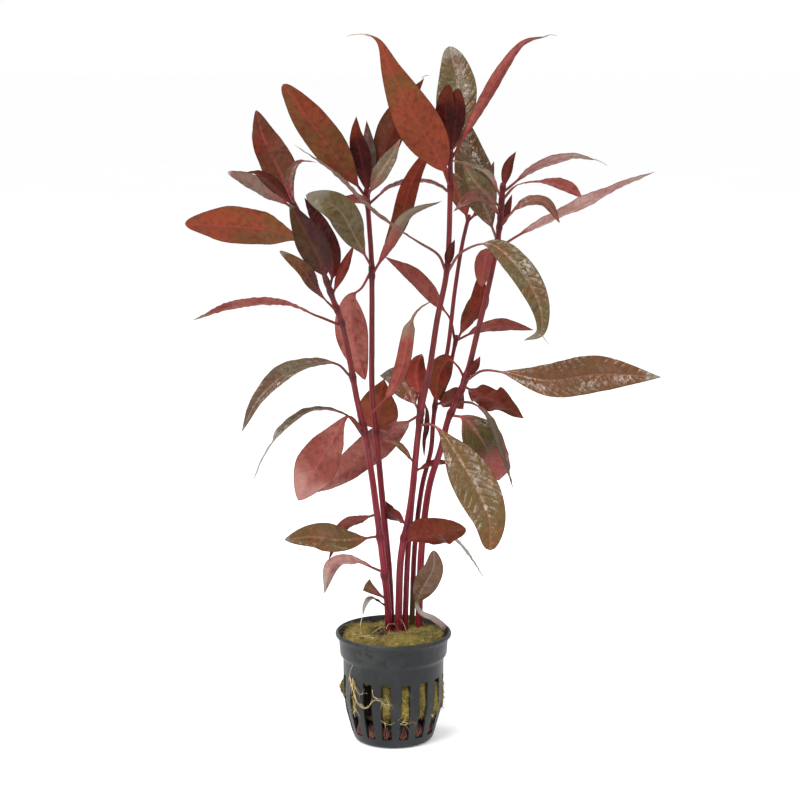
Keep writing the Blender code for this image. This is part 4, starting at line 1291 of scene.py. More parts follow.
# Young leaves and buds, grown on to their stem as one piece with it
YOUNG_LEAVES: tuple[Leaf, ...] = (
    Leaf("left_young_dark", 227, ((-47, -18, 236), (-53, -26, 242), (-58, -30, 243)), 6,
         (-60, -60), Tone.BRICK, 0.65),
    Leaf("left_young_pink", 228, ((-42, -5, 238), (-39, 2, 245), (-31, 6, 245)), 4, (20, 20),
         Tone.ROSE, 0.75),
    Leaf("left_young_red", 190, ((-23, -8, 196), (-19, -6, 205), (-16, -4, 212)), 4.5, (-60, -60),
         Tone.BRICK),
    Leaf("left_young_torn", 60, ((-9, 2, 64), (-12, 0, 67)), 6, (60, 60), Tone.BRONZE, 1.0,
         blunt=True, dry=0.0),
    Leaf("left_young_curl", 57, ((-9, 0, 61), (-12, -4, 59), (-13, -7, 55)), 3, (20, 20),
         Tone.SILVER, 0.6, dry=0.5),
    Leaf("left_young_back", 97, ((-14, 10, 93), (-22, 14, 88), (-28, 14, 74)), 6, (-60, -60),
         Tone.ROSE, 0.8),
    Leaf("mid_young_grey", 231, ((-10, 9, 246), (-11, 12, 262)), 6.5, (-80, -80), Tone.SILVER, 0.5),
    Leaf("mid_young_black", 231, ((-13, 0, 246), (-15, -2, 256), (-15, -2, 264)), 9.5, (-80, -80),
         Tone.MAROON, 0.8, fold=30, dry=0.25),
    Leaf("mid_young_olive", 231, ((-5, -1, 241), (0, -3, 249), (3, -4, 255)), 7.5, (60, 60),
         Tone.SILVER, 1.15),
    Leaf("mid_young_pink", 229, ((-15, -3, 230), (-20, -6, 232)), 7, (-50, -50), Tone.ROSE, 1.15),
    Leaf("centre_young_dark", 249, ((21, -16, 264), (22, -16, 277)), 8.5, (-80, -80), Tone.MAROON,
         0.62, fold=12, belly=0.55, tip=0.6, dry=0.25),
    Leaf("centre_young_plum", 247, ((25, -15, 263), (26, -15, 275.5)), 8, (-80, -80), Tone.MAROON,
         0.62, fold=12, belly=0.55, tip=0.6, dry=0.2),
    Leaf("centre_young_bud", 203, ((23, -13, 209), (25, -14, 215)), 4, (-70, -70), Tone.BRICK,
         0.35),
    Leaf("centre_young_twist", 118, ((2, -5, 128), (-4, -8, 131)), 4.5, (40, 40), Tone.OLIVE, 1.1),
    Leaf("centre_young_brown", 114, ((17, 7, 118), (26, 9, 118)), 4, (-60, -60), Tone.BRICK, 1.1),
    Leaf("centre_young_low", 91, ((2, 9, 94), (-2, 14, 95), (-5, 16, 101)), 8, (-70, -70),
         Tone.BRICK, 0.9),
    Leaf("thin_young_left", 220, ((30, 26, 225), (26, 32, 234), (22, 36, 242)), 8, (-70, -70),
         Tone.BRONZE, 0.95),
    Leaf("thin_young_right", 220, ((37, 26, 225), (40, 32, 234), (43, 36, 244)), 7, (-70, -70),
         Tone.ROSE, 0.85),
    Leaf("right_young_thin", 231, ((39, 2, 240), (30, 8, 244), (19, 12, 246)), 5, (10, 10),
         Tone.SILVER, 1.4),
    Leaf("right_young_tip", 235, ((47, -4, 244), (50, -5, 250)), 4.5, (-70, -70), Tone.BRICK, 0.65),
    Leaf("right_young_front", 217, ((47, 2, 226), (49, 4, 232)), 4, (-70, -70), Tone.BRICK, 0.6),
    Leaf("right_young_dark", 157, ((34, -5, 162), (36, -6, 166)), 4.5, (-70, -70), Tone.MAROON,
         0.85),
    Leaf("back_young_withered", 147, ((14, 5, 141), (14, 4, 133), (13, 4, 127), (13, 4, 121)),
         2.8, (10, 20), Tone.BRICK, 0.45, fold=30),
)


def turned(profile: Array, sides: int) -> tuple[Array, Array]:
    """A form turned from a profile whose two ends are on the axis.

    Args:
        profile: Radius and height of each ring, in millimetres.
        sides: Points in a ring.

    Returns:
        The points and the triangles.
    """
    turn = np.linspace(0, math.tau, sides, endpoint=False)
    rings = profile[1:-1]
    t, r = np.meshgrid(turn, rings[:, 0])
    z = np.repeat(rings[:, 1], sides).reshape(r.shape)
    points = np.stack((r * np.sin(t), -r * np.cos(t), z), axis=-1).reshape(-1, 3)
    number = np.arange(len(points)).reshape(len(rings), sides)
    wrapped = np.hstack((number, number[:, :1]))
    faces = wrapped.ravel()[lattice(len(rings), sides + 1)]
    low, high = len(points), len(points) + 1
    points = np.vstack((points, (0, 0, profile[0, 1]), (0, 0, profile[-1, 1])))
    after = np.roll(number, -1, axis=1)
    foot = np.stack((after[0], number[0], np.full(sides, low)), axis=1)
    top = np.stack((number[-1], after[-1], np.full(sides, high)), axis=1)
    return points, np.vstack((faces, foot, top))


def softened(profile: Iterable[tuple[float, float]], reach: float, steps: int = 4) -> Array:
    """A profile with its corners rounded.

    Args:
        profile: The sharp profile.
        reach: How far from a corner the rounding starts, at most.
        steps: Points in each rounded corner.

    Returns:
        The rounded profile.
    """
    knots = np.array(list(profile), float)
    made = [knots[:1]]
    t = np.linspace(0, 1, steps)[:, None]
    for before, corner, after in zip(knots, knots[1:], knots[2:]):
        back, on = before - corner, after - corner
        back *= min(reach, 0.42 * np.linalg.norm(back)) / np.linalg.norm(back)
        on *= min(reach, 0.42 * np.linalg.norm(on)) / np.linalg.norm(on)
        first, last = corner + back, corner + on
        made.append((1 - t) ** 2 * first + 2 * t * (1 - t) * corner + t ** 2 * last)
    made.append(knots[-1:])
    return np.vstack(made)


def resampled(profile: Array, step: float) -> Array:
    """A profile's points at even distances.

    Args:
        profile: Radius and height of each point, in millimetres.
        step: The distance between points, at least.

    Returns:
        The new profile.
    """
    reach = np.concatenate(([0.0], np.cumsum(np.linalg.norm(np.diff(profile, axis=0), axis=1))))
    goal = np.linspace(0, reach[-1], int(reach[-1] / step) + 1)
    return np.stack([np.interp(goal, reach, column) for column in profile.T], axis=1)


@dataclass
class NetPot:
    """The net pot: a turned cup with a stepped collar and a rolled lip, slotted all round."""
    outer: tuple[tuple[float, float], ...] = (
        (0.0, 0.0), (15.8, 0.0), (16.9, 0.7), (17.6, 2.4), (20.2, 12.0), (21.3, 19.0), (21.5, 35.4),
        (22.8, 37.2), (23.3, 44.4), (24.6, 45.0), (24.8, 46.0))
    inner: tuple[tuple[float, float], ...] = (
        (24.3, 46.9), (23.6, 47.0), (22.6, 45.2), (22.0, 43.0), (21.8, 38.4), (20.3, 36.2),
        (20.1, 19.0), (19.0, 12.0), (16.4, 2.4), (15.6, 1.5), (0.0, 1.5))
    sides: int = 128
    corner: float = 0.7
    slots: int = 16
    slot_first_deg: float = -8.4
    slot_width: float = 4.1
    slot_low: float = 4.0
    slot_high: float = 29.0
    slot_corner: float = 0.5
    slot_reach: tuple[float, float] = (14.0, 28.0)
    crease_deg: float = 32.0

    def wall_radius(self, height: float) -> float:
        """The outer wall's radius at a height, in millimetres."""
        radii, heights = zip(*self.outer[1:])
        return float(np.interp(height, heights, radii))

    def on_wall(self, degrees: float, height: float, off: float = 0.5) -> Place:
        """A place just off the outer wall.

        Args:
            degrees: The angle from the front, to the right.
            height: The height in millimetres.
            off: How far it stands off the wall.

        Returns:
            The place in millimetres.
        """
        radius = self.wall_radius(height) + off
        turn = math.radians(degrees)
        return radius * math.sin(turn), -radius * math.cos(turn), height

    def _perforation(self) -> GeometryTree:
        """The tree that cuts a ring of round-cornered slots through the wall.

        Returns:
            The tree.
        """
        sizes = {"Slot Count": ("NodeSocketInt", self.slots)}
        for name in ("Slot Width", "Slot Height", "Slot Middle", "Slot Corner", "Slot Start",
                     "Slot Depth", "First Angle"):
            sizes[name] = ("NodeSocketFloat", 0.0)
        tree = GeometryTree("Slot ring", sizes)
        mouth = tree.add("GeometryNodeCurvePrimitiveQuadrilateral", {"mode": "RECTANGLE"},
                         {"Width": tree.size("Slot Width"), "Height": tree.size("Slot Height")})
        mouth = tree.add("GeometryNodeFilletCurve", {"mode": "POLY"},
                         {"Curve": mouth, "Radius": tree.size("Slot Corner"), 1: 4})
        lid = tree.add("GeometryNodeFillCurve", None, {0: mouth})
        depth = tree.size("Slot Depth")
        raised = tree.add("GeometryNodeExtrudeMesh", {"mode": "FACES"},
                          {"Mesh": lid, "Offset Scale": depth, "Individual": False})
        back = tree.add("GeometryNodeFlipFaces", None, {0: lid})
        block = tree.add("GeometryNodeJoinGeometry")
        for part in (raised, back):
            tree.group.links.new(part.output, block.output.node.inputs[0])
        block = tree.add("GeometryNodeMergeByDistance", None, {"Geometry": block, "Distance": 1e-6})
        shift = tree.add("ShaderNodeCombineXYZ", None,
                         {"Y": tree.size("Slot Start") * -1.0, "Z": tree.size("Slot Middle")})
        upright = (math.pi / 2, 0.0, 0.0)
        block = tree.add("GeometryNodeTransform", None,
                         {"Geometry": block, "Translation": shift, "Rotation": upright})
        marks = tree.add("GeometryNodePoints", None, {"Count": tree.size("Slot Count")})
        index = tree.add("GeometryNodeInputIndex")
        turn = tree.size("First Angle") + index * math.tau / tree.size("Slot Count")
        ring = tree.add("GeometryNodeInstanceOnPoints", None,
                        {"Points": marks, "Instance": block,
                         "Rotation": tree.add("ShaderNodeCombineXYZ", None, {"Z": turn})})
        ring = tree.add("GeometryNodeRealizeInstances", None, {0: ring})
        cup = Socket(tree.group, tree.entry.outputs["Geometry"])
        cut = tree.add("GeometryNodeMeshBoolean", {"operation": "DIFFERENCE", "solver": "EXACT"},
                       {"Mesh 1": cup, "Mesh 2": ring})
        tree.end(cut, PlasticFinish().material())
        return tree

    def build(self) -> bpy.types.Object:
        """Make the pot.

        Returns:
            The finished piece.
        """
        profile = softened(self.outer + self.inner, self.corner)
        points, faces = turned(profile, self.sides)
        mesh = bpy.data.meshes.new("cup")
        mesh.from_pydata((points * MM).tolist(), [], faces.tolist())
        cup = link_object("cup", mesh)
        start, end = self.slot_reach
        shape = self._perforation().apply(
            cup, "net_pot_body", Slot_Count=self.slots, Slot_Width=self.slot_width * MM,
            Slot_Height=(self.slot_high - self.slot_low) * MM,
            Slot_Middle=(self.slot_high + self.slot_low) / 2 * MM,
            Slot_Corner=self.slot_corner * MM, Slot_Start=start * MM,
            Slot_Depth=(end - start) * MM, First_Angle=math.radians(self.slot_first_deg))
        shape.shade_smooth()
        shape.set_sharp_from_angle(angle=math.radians(self.crease_deg))
        pot = link_object("net_pot_body", shape)
        declare(pot, "pot_plastic", "net_pot")
        return pot


@dataclass
class RockwoolPlug:
    """The rockwool plug: matted wool, hollow round the stems, pushing out through the slots."""
    outline: tuple[tuple[float, float], ...] = (
        (0.0, 10.4), (9.0, 10.4), (15.5, 10.6), (18.2, 12.4), (19.4, 19.0), (19.7, 35.8),
        (21.3, 39.2), (21.5, 43.6), (20.4, 45.4), (14.0, 46.2), (7.0, 46.6), (0.0, 46.6))
    corner: float = 1.2
    sides: int = 220
    step: float = 0.62
    bulge_low: float = 12.0
    bulge_high: float = 28.5
    bulge_ease: float = 2.5
    bulge_half_deg: float = 5.6
    swell_from: float = 21.5
    swell: tuple[float, float] = (21.0, 5.5)
    bulge_reach: tuple[float, ...] = (
        20.6, 20.9, 20.4, 21.4, 21.4, 20.8, 21.2, 20.5,
        21.0, 20.7, 21.3, 22.9, 23.0, 20.4, 20.2, 15.2)
    bulging_from: float = 15.5
    fibred_from: float = 17.0
    top_height: tuple[float, float] = (43.5, 45.2)
    pit: Place = (3.0, 5.4, 5.4)
    pit_reach: float = 8.2
    # Painted shade round the stems' feet: centre and half widths in millimetres.
    shade: tuple[float, float, float, float] = (0.5, 3.2, 8.5, 6.5)
    sunk_reach: float = 18.0
    mounds: tuple[tuple[float, float, float, float], ...] = (
        (-15.0, 3.0, 1.9, 6.5), (-13.0, -8.0, 0.9, 4.5), (7.0, -11.0, 1.7, 8.0),
        (16.0, -2.0, 1.3, 6.0), (-8.0, -2.0, -2.6, 3.2), (-5.0, -7.0, -1.8, 2.6),
        (-6.0, 5.0, -2.2, 3.5))
    lump: float = 0.6
    fuzz: float = 0.42
    fibre_density: float = 1.7e6
    fibre_length: float = 2.1
    fibre_radius: float = 0.045

    def _surface(self, pot: NetPot) -> tuple[Array, Array, Array, Array]:
        """Shape the wool's skin.

        Args:
            pot: The pot that it sits in.

        Returns:
            Points, faces, how fuzzy each point is, and how much painted shade it takes round the
            stems, in the cracks and in the sunk slot.
        """
        profile = resampled(softened(self.outline, self.corner), self.step)
        points, faces = turned(profile, self.sides)
        x, y, z = points.T
        radius = np.maximum(np.hypot(x, y), 1e-6)
        outward = np.stack((x / radius, y / radius, np.zeros_like(z)), axis=1)
        rough, fine = (np.array([noise.fractal(Vector(p) * scale, 1.0, 2.0, 3) for p in points])
                       for scale in (0.35, 1.3))
        top = soft_step(z, *self.top_height)
        push, filled, sunk_shade = self._bulges(pot, x, y, z)
        push += (1 - top) * (rough * 0.35 + fine * self.fuzz)
        mounds, hollow, shade, crack_shade = self._crown(x, y)
        points = points + outward * push[:, None]
        points[:, 2] += top * (mounds + rough * self.lump * 1.6 + fine * self.fuzz
                               - self.pit[2] * hollow)
        show = np.maximum(top * (1 - 0.8 * shade), filled) * (1 - sunk_shade)
        # The last value is painted shade: round the stems, in the cracks and in the sunk slot.
        return points, faces, show, np.maximum(np.maximum(shade, crack_shade * 0.75) * top, sunk_shade)

    def _bulges(self, pot: NetPot, x: Array, y: Array, z: Array) -> tuple[Array, Array, Array]:
        """How the wool pushes out into the slots.

        Args:
            pot: The pot that it sits in.
            x: Each point's place to the right.
            y: Each point's place to the back.
            z: Each point's height.

        Returns:
            How far each point is pushed out, how fuzzy it is, and how far it is in the sunk slot,
            which is painted dark as shade.
        """
        radius = np.maximum(np.hypot(x, y), 1e-6)
        degrees = np.degrees(np.arctan2(x, -y))
        slot = (degrees - pot.slot_first_deg) / (360 / pot.slots)
        nearest = np.round(slot)
        off = np.abs(slot - nearest) * 360 / pot.slots
        reach = np.array(self.bulge_reach)[nearest.astype(int) % pot.slots]
        band = soft_step(z, self.bulge_low, self.bulge_low + self.bulge_ease) * (
            1 - soft_step(z, self.bulge_high - self.bulge_ease, self.bulge_high))
        bulging = np.clip((reach - self.swell_from) / 1.5, 0.0, 1.0)
        band *= 1 - bulging * (1 - np.exp(-((z - self.swell[0]) / self.swell[1]) ** 2))
        lobe = waves(z * 0.24, nearest * 2.3, 5, 4)
        ragged = waves(z * 0.9, degrees * 0.5, 8, 6)
        mouth = 1 - soft_step(off, self.bulge_half_deg * 0.7, self.bulge_half_deg)
        mouth *= np.clip(0.85 + 0.35 * lobe + 0.25 * ragged, 0.0, 1.0)
        # The sunk slot's wool is painted near black as shade and bears fewer fibres.
        sunk_shade = np.where(reach < self.sunk_reach, 0.9, 0.0) * band
        sunk_shade *= 1 - soft_step(off, 8.0, 11.0)
        push = (reach - radius) * band * mouth * (radius > self.bulging_from)
        return push, band * mouth * (radius > self.fibred_from), sunk_shade

    def _crown(self, x: Array, y: Array) -> tuple[Array, Array, Array, Array]:
        """The mounds, cracks and hollow of the top, and its painted shade.

        Args:
            x: Each point's place to the right.
            y: Each point's place to the back.

        Returns:
            How far each point is raised, its share in the hollow, and its share in the painted
            shade round the stems and in the painted shade of a crack.
        """
        ripple = 0.35 * (np.sin(x * 0.31 + 1.0) + np.sin(y * 0.37 + x * 0.13))
        hollow = np.exp(-((x - self.pit[0]) ** 2 * 0.55 + (y - self.pit[1]) ** 2)
                        / self.pit_reach ** 2 * 2.2)
        uneven, crack_shade = np.zeros_like(x), np.zeros_like(x)
        for east, north, rise, spread in self.mounds:
            near = np.exp(-((x - east) ** 2 + (y - north) ** 2) / spread ** 2)
            uneven += rise * near
            # Cracks are painted dark as shade.
            crack_shade = np.maximum(crack_shade, near if rise < 0 else 0.0)
        # Painted shade round the stems' feet.
        shade = np.exp(-((x - self.shade[0]) / self.shade[2]) ** 2
                       - ((y - self.shade[1]) / self.shade[3]) ** 2)
        return ripple + uneven, hollow, shade, crack_shade

    def _fibres(self) -> GeometryTree:
        """The tree that lays bent fibres over the skin.

        Returns:
            The tree.
        """
        tree = GeometryTree("Wool fibres", {
            "Density": ("NodeSocketFloat", 1.0), "Length": ("NodeSocketFloat", 1.0),
            "Radius": ("NodeSocketFloat", 1.0), "Seed": ("NodeSocketInt", 1)})
        skin = Socket(tree.group, tree.entry.outputs["Geometry"])
        show = tree.add("GeometryNodeInputNamedAttribute", {"data_type": "FLOAT"}, {"Name": "show"})
        seed, length = tree.size("Seed"), tree.size("Length")
        scatter = tree.add("GeometryNodeDistributePointsOnFaces", {"distribute_method": "RANDOM"},
                           {"Mesh": skin, "Density": tree.size("Density") * show, "Seed": seed})
        spin = Socket(tree.group, scatter.output.node.outputs["Rotation"])
        middle = tree.add("ShaderNodeCombineXYZ", None, {"X": length * 0.16, "Z": length * 0.5})
        end = tree.add("ShaderNodeCombineXYZ", None, {"Y": length * 0.1, "Z": length})
        arc = tree.add("GeometryNodeCurveQuadraticBezier", None,
                       {"Resolution": 4, "Start": (0.0, 0.0, 0.0), "Middle": middle, "End": end})
        round_profile = tree.add("GeometryNodeCurvePrimitiveCircle", {"mode": "RADIUS"},
                                 {"Resolution": 3, "Radius": tree.size("Radius")})
        hair = tree.add("GeometryNodeCurveToMesh", None,
                        {"Curve": arc, "Profile Curve": round_profile, "Fill Caps": True})
        lean = tree.add("FunctionNodeRandomValue", {"data_type": "FLOAT_VECTOR"},
                        {"Min": (1.05, -0.3, 0.0), "Max": (1.62, 0.3, math.tau), "Seed": seed})
        lean = tree.add("FunctionNodeEulerToRotation", None, {0: lean})
        turned_by = tree.add("FunctionNodeRotateRotation", {"rotation_space": "LOCAL"},
                             {0: spin, 1: lean})
        scale = tree.add("FunctionNodeRandomValue", {"data_type": "FLOAT"},
                         {2: 0.45, 3: 1.3, "Seed": seed + 5.0}, out=1)
        laid = tree.add("GeometryNodeInstanceOnPoints", None,
                        {"Points": scatter, "Instance": hair, "Rotation": turned_by,
                         "Scale": scale})
        tree.end(laid, CordFinish.WOOL.material())
        return tree

    def build(self, pot: NetPot) -> None:
        """Make the plug and its fibres.

        Args:
            pot: The pot that it sits in.
        """
        points, faces, show, hollow = self._surface(pot)
        shell = Shell()
        shell.add(points, faces, np.zeros(len(faces)), np.zeros_like(points), np.ones_like(points))
        plug = shell.to_object("rockwool_plug_body", [WoolFinish().material()])
        # The second attribute carries the painted shade to the wool's material.
        for name, values in (("show", show), ("pit", hollow)):
            layer = plug.data.attributes.new(name, "FLOAT", "POINT")
            layer.data.foreach_set("value", values.astype(np.float32))
        skin = link_object("skin", plug.data.copy())
        hairs = self._fibres().apply(
            skin, "rockwool_fibres", Density=self.fibre_density, Length=self.fibre_length * MM,
            Radius=self.fibre_radius * MM, Seed=7)
        declare(plug, "rockwool", "rockwool_plug")
        declare(link_object("rockwool_fibres", hairs), "rockwool")


@dataclass(frozen=True)
class Thread:
    """A thread-like growth along a route, thinning to its tip."""
    route: tuple[Place, ...]
    radius: float = 0.22
    wobble: float = 0.8


@dataclass
class Threads:
    """Roots and drawn-out leaf tips, each group one piece."""
    resolution: float = 0.7
    sides: int = 6

    def _tree(self, finish: CordFinish) -> GeometryTree:
        """The tree that turns routes into tapering threads.

        Args:
            finish: The threads' finish.

        Returns:
            The tree.
        """
        tree = GeometryTree(f"Thread {finish.name.lower()}", {
            "Step": ("NodeSocketFloat", 1.0), "Wobble": ("NodeSocketFloat", 0.0),
            "Sides": ("NodeSocketInt", 6), "Seed": ("NodeSocketFloat", 1.0)})
        route = Socket(tree.group, tree.entry.outputs["Geometry"])
        curve = tree.add("GeometryNodeMeshToCurve", None, {"Mesh": route})
        curve = tree.add("GeometryNodeResampleCurve", {"mode": "LENGTH"},
                         {"Curve": curve, "Length": tree.size("Step")})
        place = tree.add("GeometryNodeInputPosition")
        stir = tree.add("ShaderNodeTexNoise", {"noise_dimensions": "4D"},
                        {"Vector": place, "W": tree.size("Seed"), "Scale": 330.0, "Detail": 1.0},
                        out="Color")
        stir = tree.add("ShaderNodeVectorMath", {"operation": "SUBTRACT"},
                        {0: stir, 1: (0.5, 0.5, 0.5)})
        stir = tree.add("ShaderNodeVectorMath", {"operation": "SCALE"},
                        {0: stir, "Scale": tree.size("Wobble")})
        curve = tree.add("GeometryNodeSetPosition", None, {"Geometry": curve, "Offset": stir})
        share = tree.add("GeometryNodeSplineParameter", out="Factor")
        wide = tree.add("GeometryNodeInputNamedAttribute", {"data_type": "FLOAT"},
                        {"Name": "thick"})
        ring = tree.add("GeometryNodeCurvePrimitiveCircle", {"mode": "RADIUS"},
                        {"Resolution": tree.size("Sides"), "Radius": 1.0})
        tube = tree.add("GeometryNodeCurveToMesh", None,
                        {"Curve": curve, "Profile Curve": ring, "Fill Caps": True,
                         "Scale": wide * (1.0 - share * 0.72)})
        tree.end(tube, finish.material())
        return tree

    def build(self, name: str, slot: str, finish: CordFinish, threads: list[Thread]) -> None:
        """Make one group of threads.

        Args:
            name: The piece's name.
            slot: The record's material slot.
            finish: The threads' finish.
            threads: The threads.
        """
        points, edges, thick = [], [], []
        for thread in threads:
            curve = smooth_route(thread.route, THREAD_STEPS)
            first = sum(len(p) for p in points)
            edges += [(first + k, first + k + 1) for k in range(len(curve) - 1)]
            points.append(curve)
            thick.append(np.full(len(curve), thread.radius * MM))
        mesh = bpy.data.meshes.new(name)
        mesh.from_pydata((np.vstack(points) * MM).tolist(), edges, [])
        layer = mesh.attributes.new("thick", "FLOAT", "POINT")
        layer.data.foreach_set("value", np.concatenate(thick).astype(np.float32))
        made = self._tree(finish).apply(
            link_object("routes", mesh), name, Step=self.resolution * MM,
            Wobble=max(thread.wobble for thread in threads) * MM, Sides=self.sides, Seed=3.0)
        made.shade_smooth()
        declare(link_object(name, made), slot)


# Roots and hairs: the radius, then the stops. On the wall a stop is the angle in degrees, the
# height and the standoff from the wall; in the wool and on the leaves it is a place.
CREAM_ROOTS: tuple[tuple[float, tuple[Place, ...]], ...] = (
    (0.11, ((-50, 36, 0.3), (-56, 32, 0.8), (-53, 29, 1.0), (-49, 25, 1.2), (-44, 21, 1.0))),
    (0.2, ((-58, 30, 0.4), (-52, 28, 1.3), (-47, 25, 1.6), (-42, 21, 1.5), (-33, 19, 1.3),
     (-27, 20, 1.0), (-24, 23, 0.6))),
    (0.19, ((-55, 31, -0.6), (-50, 27, 1.1), (-46, 23, 1.5), (-40, 19.5, 1.4), (-31, 18.4, 1.2),
     (-26, 20.5, 0.8))),
    (0.1, ((-53, 29, -0.5), (-48, 29, 0.9), (-45, 26, 1.0), (-38, 24, 0.9), (-34, 27, 0.5))),
    (0.12, ((-51, 26, -0.8), (-50, 22, 0.8), (-48, 18, 1.0), (-50, 14.5, 0.6))),
    (0.11, ((-24, 27, 0.2), (-22, 24, 0.9), (-17, 23.4, 0.8), (-11, 23.8, 0.5))),
    (0.12, ((-27, 20, 0.8), (-21, 22.6, 0.9), (-14, 22.4, 0.8), (-9, 20, 0.3), (-5, 18, -0.4))),
    (0.08, ((-9, 25, -0.3), (-6, 22, 0.4), (-3, 19, 0.2))),
    (0.09, ((-15, 13.5, 0.3), (-9, 12.6, 0.6), (-3, 12, 0.4), (2, 12.6, 0.2))),
    (0.11, ((9, 11.5, -0.2), (13, 14, 0.4), (16, 17, -0.2))),
    (0.08, ((8, 12.4, 0.2), (14, 11.6, 0.5), (22, 12.6, 0.5), (29, 12.0, 0.2))),
    (0.11, ((49, 15, -0.4), (52, 13, 0.4), (56, 12.4, 0.2), (60, 14, -0.4))),
)

WHITE_WALL_ROOTS: tuple[tuple[float, tuple[Place, ...]], ...] = (
    (0.17, ((-52, 16, -0.8), (-53, 14.5, 0.4), (-52, 12.5, 0.3))),
    (0.15, ((53, 14.5, -0.6), (54, 13, 0.3), (53, 11.5, -0.2))),
)

WOOL_ROOTS: tuple[tuple[float, tuple[Place, ...]], ...] = (
    (0.08, ((-9, -6, 47.5), (-6, -2, 48.5), (-4, 1.5, 48), (-3, 4, 46))),
    (0.08, ((-3, 0, 47.6), (-2, 2.4, 48.9), (0.5, 3.6, 48.4), (2, 5, 46))),
    (0.07, ((5, 1, 47.4), (4.4, 3, 49), (2.8, 4.6, 50.4))),
    (0.08, ((-15, -10, 46.8), (-13, -12, 47.6), (-8, -12.5, 47.4), (-5, -12, 46.8))),
    (0.08, ((-18, -5, 46.6), (-15, -9, 47.6), (-10, -10.4, 47.6), (-6, -9.5, 46.9))),
    (0.11, ((-13, -7, 55), (-14, -7.4, 52), (-13.6, -8, 49), (-13, -8.4, 46.6))),
)

TIP_HAIRS: tuple[tuple[float, tuple[Place, ...]], ...] = (
    (0.35, ((-9, -27.2, 295.8), (-12, -27, 296.5), (-16, -26.5, 296.2), (-18, -26, 295.6))),
    (0.3, ((12, 28, 279), (13.5, 28.4, 280), (15, 28.6, 280))),
    (0.25, ((58, -46.5, 181), (60, -45, 178), (62, -44, 176))),
    (0.25, ((60, -10.4, 295.6), (63, -10, 296.4), (65.5, -9.6, 296))),
    (0.3, ((81, -15, 247.2), (84, -15.2, 246), (86, -15.4, 244.6))),
)


@dataclass
class RootGrowth:
    """The roots that come out of the slots and lie on the wool."""
    pot: NetPot
    branch_reach: float = 4.0
    branch_share: float = 0.55

    TANGLED = 16
    TANGLE_SEED = 11

    def _wall(self, stops: Iterable[Place]) -> tuple[Place, ...]:
        """A route along the pot's wall from angle, height and standoff."""
        return tuple(self.pot.on_wall(*stop) for stop in stops)

    def _branches(self, roots: list[Thread], count: int, seed: int) -> list[Thread]:
        """Fine side roots that leave the main roots at seeded places.

        Args:
            roots: The main roots.
            count: Side roots of each.
            seed: Fixed seed.

        Returns:
            The side roots.
        """
        draw = np.random.default_rng(seed)
        found = []
        for root in roots:
            curve = smooth_route(root.route, THREAD_STEPS)
            along = directions(curve)
            for place in draw.integers(4, 20, count):
                start = curve[place]
                outward = unit(np.array((start[0], start[1], 0.0)) + 1e-6)
                sideways = np.cross(outward, along[place])
                aim = along[place] * draw.uniform(0.3, 1.0)
                aim += sideways * draw.choice((-1, 1)) * draw.uniform(0.4, 1.0)
                reach = self.branch_reach * draw.uniform(0.4, 1.0)
                middle = start + aim * reach * 0.5
                end = start + (aim - UP * 0.3) * reach - outward * draw.uniform(0.0, 0.5)
                route = tuple(start), tuple(middle), tuple(end)
                found.append(Thread(route, root.radius * self.branch_share))
        return found

    def _tangle(self) -> list[Thread]:
        """The dark roots that fill the foot of every slot.

        Returns:
            The dark roots.
        """
        draw = np.random.default_rng(self.TANGLE_SEED)
        made = []
        for slot in range(self.pot.slots):
            middle = self.pot.slot_first_deg + slot * 360 / self.pot.slots
            for _ in range(self.TANGLED):
                a, b = draw.uniform(-7, 7, 2)
                low, high = draw.uniform(2.0, 4.5), draw.uniform(6.5, 10.5)
                off = draw.uniform(-2.8, -1.2)
                stops = ((middle + a, low, off),
                         (middle + (a + b) / 2, (low + high) / 2, off + 0.9),
                         (middle + b, high, off - 0.3))
                made.append(Thread(self._wall(stops), float(draw.uniform(0.25, 0.55))))
        return made

    def build(self) -> None:
        """Make the cream, white and dark roots."""
        cream = [Thread(self._wall(stops), radius) for radius, stops in CREAM_ROOTS]
        white = [Thread(places, radius) for radius, places in WOOL_ROOTS]
        white += [Thread(self._wall(stops), radius) for radius, stops in WHITE_WALL_ROOTS]
        cream += self._branches(cream, 4, 21)
        white += self._branches(white[:5], 2, 22)
        threads = Threads()
        threads.build("roots_cream", "rockwool", CordFinish.ROOT, cream)
        threads.build("roots_white", "rockwool", CordFinish.WHITE_ROOT, white)
        threads.build("roots_dark", "rockwool", CordFinish.DARK_ROOT, self._tangle())


@dataclass
class Foliage:
    """The stems with their young leaves, and the grown leaves."""
    embed: float = 0.75
    rooting: Place = (1.0, 0.3, -2.0)
    hair_wobble: float = 0.1

    def stems(self) -> None:
        """Make each stem as one piece with its young leaves."""
        skin = StemFinish().material()
        for number, (name, stem) in enumerate(STEMS.items()):
            shell = Shell()
            nodes = sorted({leaf.height for leaf in LEAVES if leaf.stem == name})
            stem.grow(shell, nodes, number)
            materials = [skin]
            for leaf in YOUNG_LEAVES:
                if leaf.stem == name:
                    leaf.grow(shell, stem.at(leaf.height)[0], len(materials))
                    materials += leaf.tone.materials
            declare(shell.to_object(f"{name}_grown", materials), "stem", name)

    def leaves(self) -> None:
        """Make each grown leaf, its stalk set on its stem."""
        for leaf in LEAVES:
            if leaf.stem:
                centre, upward, radius = STEMS[leaf.stem].at(leaf.height)
                out = np.array(leaf.route[0], float) - centre
                out -= upward * float(out @ upward)
                start = centre + unit(out) * radius * self.embed
            else:
                start = np.array(leaf.route[0], float) + self.rooting
            shell = Shell()
            leaf.grow(shell, start)
            blade = shell.to_object(f"{leaf.name}_blade", leaf.tone.materials)
            declare(blade, SLOT_OF[leaf.name], leaf.name)

    def hairs(self) -> None:
        """Make the fine drawn-out tips."""
        Threads().build("leaf_tip_hairs", "leaf_grey", CordFinish.HAIR, [
            Thread(places, radius, self.hair_wobble) for radius, places in TIP_HAIRS])


